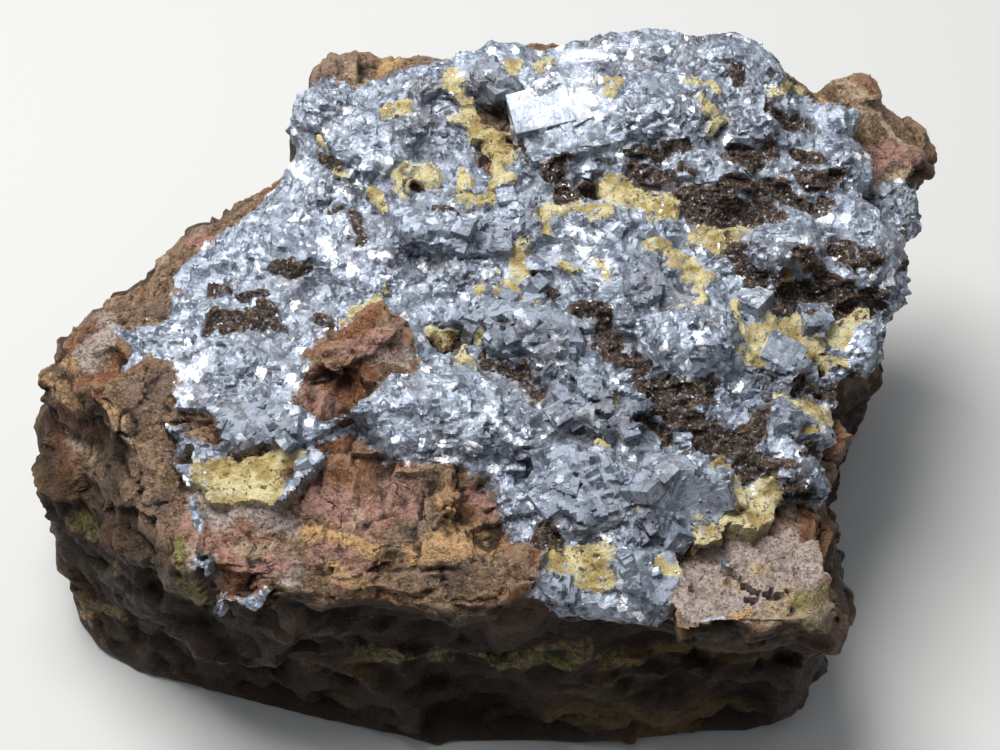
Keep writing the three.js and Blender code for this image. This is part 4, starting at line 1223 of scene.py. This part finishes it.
def shape_surface(mesh, settings):
    """Breaks a piece's surface as galena or rock, and stores what its material shows."""
    points = read_points(mesh)
    normals = unit(read_attribute(mesh, "guide"))
    lead = leading(points, read_attribute(mesh, "contact"))
    shown = {name: near(strayed(points), places) for name, places in PLACES.items()}
    shown["groove"] = groove = grooves(points, normals)
    left = on_left_face(points)
    shown["steep"] = smoothstep(0.45, 0.1, normals[:, 2] - 0.3 * left)
    ochre, brown = shown["ochre"], shown["brown"]
    coat = smoothstep(0.15, 0.4, np.maximum(brown, ochre))
    galena = broken_galena(points, normals, settings, coat, smoothstep(0.05, 0.3, shown["dull"]))
    rock = broken_rock(points, normals, groove)
    rock += (blurred(mesh, rock, 1, 0.35) - rock) * shown["steep"][:, None]
    share = smoothstep(-0.2, 0.2, lead)[:, None]
    moved = rock * (1 - share) + galena * share
    powder = points + normals * (folds(points, 3, 56) * 0.6 + folds(points, 1.2, 58) * 0.4 - 0.2)[:, None]
    filled = smoothstep(0.15, 0.4, ochre)[:, None]
    moved = moved * (1 - filled) + powder * filled
    rest = smoothstep(0.3, 3, points[:, 2])[:, None]
    points = points + (moved - points) * rest
    points = flattened(points, FLAT_BREAKS)
    points[:, 2] = np.maximum(points[:, 2], 0)
    write_points(mesh, points)
    for name, values in shown.items():
        write_attribute(mesh, name, values)
    write_attribute(mesh, "lead", lead)
    write_attribute(mesh, "hollow", hollowness(mesh, 10))
    for name in ("guide", "contact"):
        mesh.attributes.remove(mesh.attributes[name])


def ridges(points, along, across, spacing, salt):
    """Sharp crests from 0 to 1 that run along one direction."""
    along, across = unit(np.array([along, across], float))
    frame_of_crests = np.array([along * 0.14, across, np.cross(along, across) * 0.4])
    return (1 - np.abs(noise(points @ frame_of_crests.T, spacing, salt))) ** 2


def flattened(points, breaks):
    """Makes flat breaks: cuts away what stands above each, and raises most of what lies just below."""
    for centre, normal, radius in breaks.values():
        normal = np.array(normal, float) / np.linalg.norm(normal)
        offset = points - centre
        height = offset @ normal
        around = np.linalg.norm(offset - height[:, None] * normal, axis=1)
        over = height - np.maximum(around - radius, 0) * 0.8
        level = np.where((height > -1.6) & (height < 0) & (around < radius), height * 0.7, 0)
        points = points - normal * np.where((over > 0) & (height < 6), over, level)[:, None]
    return points


def whole_surface(quad):
    """The whole specimen as one even mesh, with a smooth normal and the nearness of galena at each vertex."""
    galena = solids("galena_crust", GALENA_LUMPS, GALENA_BLOCKS)
    rock = solids("host_rock", ROCK_LUMPS, ROCK_BLOCKS)
    trees = tree_of(galena), tree_of(rock)
    mesh = fused((galena, rock), quad)
    contact = [
        trees[1].find_nearest(vertex.co)[3] - trees[0].find_nearest(vertex.co)[3] for vertex in mesh.vertices
    ]
    write_points(mesh, blurred(mesh, read_points(mesh), 2, 0.6))
    for _ in range(2):
        guide = unit(blurred(mesh, read_normals(mesh), 4))
        filling = np.clip(hollowness(mesh, 40) - DEEPEST, 0, None)
        write_points(mesh, read_points(mesh) + guide * filling[:, None])
    points = read_points(mesh)
    filled = smoothstep(0.05, 0.35, near(points, OCHRE))[:, None]
    points = points * (1 - filled) + blurred(mesh, points, 40) * filled
    write_points(mesh, blurred(mesh, points, 1, 0.6))
    valley = hollowness(mesh, 40)
    guide = unit(blurred(mesh, read_normals(mesh), 6))
    write_attribute(mesh, "contact", np.array(contact) / MM)
    write_attribute(mesh, "guide", guide)
    write_attribute(mesh, "valley", valley)
    return mesh


def galena_faces(shape, mesh):
    """The faces of a copy of the whole surface that are galena."""
    lead = leading(read_points(mesh), read_attribute(mesh, "contact"))
    shape.faces.ensure_lookup_table()
    return [shape.faces[i] for i in np.flatnonzero(face_mean(mesh, lead) > 0)]


def new_piece(name, shape):
    """An object made from a finished shape."""
    mesh = bpy.data.meshes.new(name)
    shape.to_mesh(mesh)
    shape.free()
    piece = bpy.data.objects.new(name, mesh)
    bpy.context.collection.objects.link(piece)
    return piece


class SPECIMEN_OT_surface(bpy.types.Operator):
    """Fuses the solids of galena and rock into one even surface, from which both are then made"""

    bl_idname = "specimen.surface"
    bl_label = "Whole Surface"

    def execute(self, context):
        mesh = whole_surface(context.scene.specimen_surface.quad)
        mesh.name = "whole_surface"
        mesh.use_fake_user = True
        return {"FINISHED"}


class SPECIMEN_OT_crust(bpy.types.Operator):
    """Makes the galena crust: a skin of the whole surface, broken into crystals and cleavage steps"""

    bl_idname = "specimen.crust"
    bl_label = "Galena Crust"

    def execute(self, context):
        settings = context.scene.galena
        whole = bpy.data.meshes["whole_surface"]
        shape = bmesh.new()
        shape.from_mesh(whole)
        faces = galena_faces(shape, whole)
        kept = set(faces)
        bmesh.ops.delete(shape, geom=[face for face in shape.faces if face not in kept], context="FACES")
        inner = bmesh.ops.extrude_face_region(shape, geom=faces, use_keep_orig=True)["geom"]
        skin = context.scene.specimen_surface.skin
        shape.normal_update()
        guide = shape.verts.layers.float_vector["guide"]
        for vertex in [part for part in inner if isinstance(part, bmesh.types.BMVert)]:
            vertex.co -= vertex[guide] * skin
        bmesh.ops.recalc_face_normals(shape, faces=shape.faces)
        divide(shape, faces)
        piece = new_piece("galena_crust_detail", shape)
        shape_surface(piece.data, settings)
        piece.data.materials.append(specimen_material("cleavage_galena", settings, context.scene.host_rock))
        finished(piece, "galena_crust")
        return {"FINISHED"}


def crystal(shape, centre, widths, axes):
    """Adds one squared crystal."""
    matrix = Matrix.Translation(centre * MM) @ axes.to_4x4() @ Matrix.Diagonal((*(Vector(widths) * MM), 1))
    bmesh.ops.create_cube(shape, size=1, matrix=matrix)


class SPECIMEN_OT_crystals(bpy.types.Operator):
    """Scatters single galena crystals over the crust, aligned with the cleavage of the grain they grew on"""

    bl_idname = "specimen.crystals"
    bl_label = "Galena Crystals"

    def execute(self, context):
        settings = context.scene.galena_crystals
        draw = random.Random(SCATTER["seed"])
        mesh = bpy.data.objects["galena_crust_detail"].data
        points, normals = read_points(mesh), read_normals(mesh)
        coat = np.maximum(read_attribute(mesh, "brown"), read_attribute(mesh, "ochre"))
        weights = (normals[:, 2] > 0) * (points[:, 2] > SCATTER["above"])
        weights = weights * (coat < 0.3) * (read_attribute(mesh, "lead") > 0.4)
        weights = weights * (0.06 + smoothstep(0.05, 0.2, read_attribute(mesh, "dull")))
        chosen = draw.choices(range(len(points)), weights=weights, k=settings.count)
        cell, _ = grains(points, context.scene.galena.grain / MM, GRAIN_SALT)
        axes = frames(cell, normals, SCATTER["lean"], GRAIN_SALT)
        shape = bmesh.new()
        for place, normal, turn in zip(points[chosen], normals[chosen], axes[chosen]):
            edge = settings.least / MM + (settings.most - settings.least) / MM * draw.random() ** 4
            widths = [edge * draw.uniform(0.35, 1.1) for _ in range(3)]
            widths[draw.randrange(3)] *= draw.choice((1, 1.3, 1.6))
            crystal(shape, Vector(place - normal * edge * draw.uniform(0.2, 0.4)), widths, Matrix(turn.T))
        for centre, widths, turns in SINGLE_CRYSTALS.values():
            crystal(shape, Vector(centre), widths, turned(turns))
        bmesh.ops.bevel(
            shape, geom=shape.edges[:], offset=SCATTER["worn"] * MM, segments=1, profile=0.5,
            affect="EDGES", material=-1,
        )
        piece = new_piece("galena_crystals", shape)
        mesh = piece.data
        write_attribute(mesh, "lead", np.full(len(mesh.vertices), 2.0))
        for name in ("dull", "painted_highlight"):
            write_attribute(mesh, name, near(strayed(read_points(mesh)), PLACES[name]))
        mesh.materials.append(bpy.data.materials["cleavage_galena"])
        finished(piece)
        return {"FINISHED"}


class SPECIMEN_OT_rock(bpy.types.Operator):
    """Makes the limonite host rock: the rest of the whole surface, which runs on under the galena's skin"""

    bl_idname = "specimen.rock"
    bl_label = "Host Rock"

    def execute(self, context):
        whole = bpy.data.meshes["whole_surface"]
        shape = bmesh.new()
        shape.from_mesh(whole)
        faces = galena_faces(shape, whole)
        kept = set(faces)
        guide = shape.verts.layers.float_vector["guide"]
        for vertex in {vertex for face in faces for vertex in face.verts}:
            if kept.issuperset(vertex.link_faces):
                vertex.co -= vertex[guide] * context.scene.specimen_surface.skin / 2
        seen = [
            face for face in shape.faces
            if face not in kept and face.normal.dot(FINE_ROCK["facing"]) > FINE_ROCK["least"]
            and face.calc_center_median().z > FINE_ROCK["above"] * MM
        ]
        divide(shape, seen)
        piece = new_piece("host_rock_detail", shape)
        shape_surface(piece.data, context.scene.galena)
        piece.data.materials.append(
            specimen_material("limonite_rock", context.scene.galena, context.scene.host_rock))
        finished(piece, "host_rock", crease=40)
        bpy.data.meshes.remove(whole)
        return {"FINISHED"}


# ---- Stage -----------------------------------------------------------------------------------

AIM = Vector((0.80, 2.47, 30.0))
CAMERA = {"distance": 330, "elevation": 50, "lens": 89.1, "sensor": 36, "nearest": 10}
KEY_LIGHT = {"place": (-140, 90, 550), "size": 320}
FILL_LIGHT = {"place": (-260, -420, 220), "size": 500}
# Which way the dome is brightest.
DOME_LEAN = (-0.12, 0.12, 0.98)
# Half width of the floor.
FLOOR_REACH = 1500


def area_light(name, place, size, power):
    """A soft square light that faces the specimen."""
    data = bpy.data.lights.new(name, "AREA")
    data.energy = power
    data.size = size * MM
    light = bpy.data.objects.new(name, data)
    light.location = Vector(place) * MM
    light.rotation_euler = (AIM - Vector(place)).to_track_quat("-Z", "Y").to_euler()
    bpy.context.collection.objects.link(light)


def soft_dome(tree, strength):
    """A dome of soft light, brightest overhead, dim at the horizon."""
    direction = node(tree, "TexCoord").outputs["Generated"]
    lean = node(tree, "VectorMath", {0: direction, 1: DOME_LEAN}, operation="DOT_PRODUCT").outputs["Value"]
    glow = maths(tree, "MULTIPLY", between(tree, lean, 0.05, 0.95, 0.03, 1.0), strength)
    background = tree.nodes["Background"]
    background.inputs["Color"].default_value = linear("#eef3fb")
    tree.links.new(glow, background.inputs["Strength"])


class SPECIMEN_OT_stage(bpy.types.Operator):
    """Makes the floor, the lights and the camera"""

    bl_idname = "specimen.stage"
    bl_label = "Stage"

    def execute(self, context):
        settings = context.scene.specimen_stage
        shape = bmesh.new()
        bmesh.ops.create_grid(shape, x_segments=1, y_segments=1, size=FLOOR_REACH * MM)
        mesh = bpy.data.meshes.new("floor")
        shape.to_mesh(mesh)
        shape.free()
        floor = bpy.data.objects.new("floor", mesh)
        context.collection.objects.link(floor)
        material = bpy.data.materials.new("matt_paper")
        material.use_nodes = True
        surface = material.node_tree.nodes["Principled BSDF"]
        surface.inputs["Base Color"].default_value = settings.floor
        surface.inputs["Roughness"].default_value = 0.9
        mesh.materials.append(material)
        area_light("key_light", KEY_LIGHT["place"], KEY_LIGHT["size"], settings.key)
        area_light("fill_light", FILL_LIGHT["place"], FILL_LIGHT["size"], settings.fill)
        world = bpy.data.worlds.new("studio")
        world.use_nodes = True
        soft_dome(world.node_tree, settings.sky)
        context.scene.world = world
        camera = bpy.data.objects.new("camera", bpy.data.cameras.new("camera"))
        camera.data.lens = CAMERA["lens"]
        camera.data.sensor_width = CAMERA["sensor"]
        camera.data.clip_start = CAMERA["nearest"] * MM
        rise = math.radians(CAMERA["elevation"])
        back = Vector((0, -math.cos(rise), math.sin(rise)))
        camera.location = (AIM + back * CAMERA["distance"]) * MM
        camera.rotation_euler = (math.pi / 2 - rise, 0, 0)
        context.collection.objects.link(camera)
        context.scene.camera = camera
        context.scene.view_settings.view_transform = "Standard"
        return {"FINISHED"}


# ---- Panel and registration ------------------------------------------------------------------

OPERATORS = (
    SPECIMEN_OT_stage, SPECIMEN_OT_surface, SPECIMEN_OT_crust, SPECIMEN_OT_crystals, SPECIMEN_OT_rock,
)


class SPECIMEN_PT_panel(bpy.types.Panel):
    """Lists the steps that make the specimen, in order"""

    bl_idname = "SPECIMEN_PT_panel"
    bl_label = "Galena Specimen"
    bl_space_type = "VIEW_3D"
    bl_region_type = "UI"
    bl_category = "Specimen"

    def draw(self, context):
        for operator in OPERATORS:
            self.layout.operator(operator.bl_idname)


SETTINGS = {
    "specimen_surface": SurfaceSettings,
    "galena": GalenaSettings,
    "galena_crystals": CrystalSettings,
    "host_rock": RockSettings,
    "specimen_stage": StageSettings,
}
CLASSES = (*SETTINGS.values(), *OPERATORS, SPECIMEN_PT_panel)


def register():
    for cls in CLASSES:
        bpy.utils.register_class(cls)
    for name, cls in SETTINGS.items():
        setattr(bpy.types.Scene, name, PointerProperty(type=cls))


def unregister():
    for name in SETTINGS:
        delattr(bpy.types.Scene, name)
    for cls in reversed(CLASSES):
        bpy.utils.unregister_class(cls)


def main():
    register()
    bpy.ops.specimen.stage()
    bpy.ops.specimen.surface()
    bpy.ops.specimen.crust()
    bpy.ops.specimen.crystals()
    bpy.ops.specimen.rock()


if __name__ == "__main__":
    main()
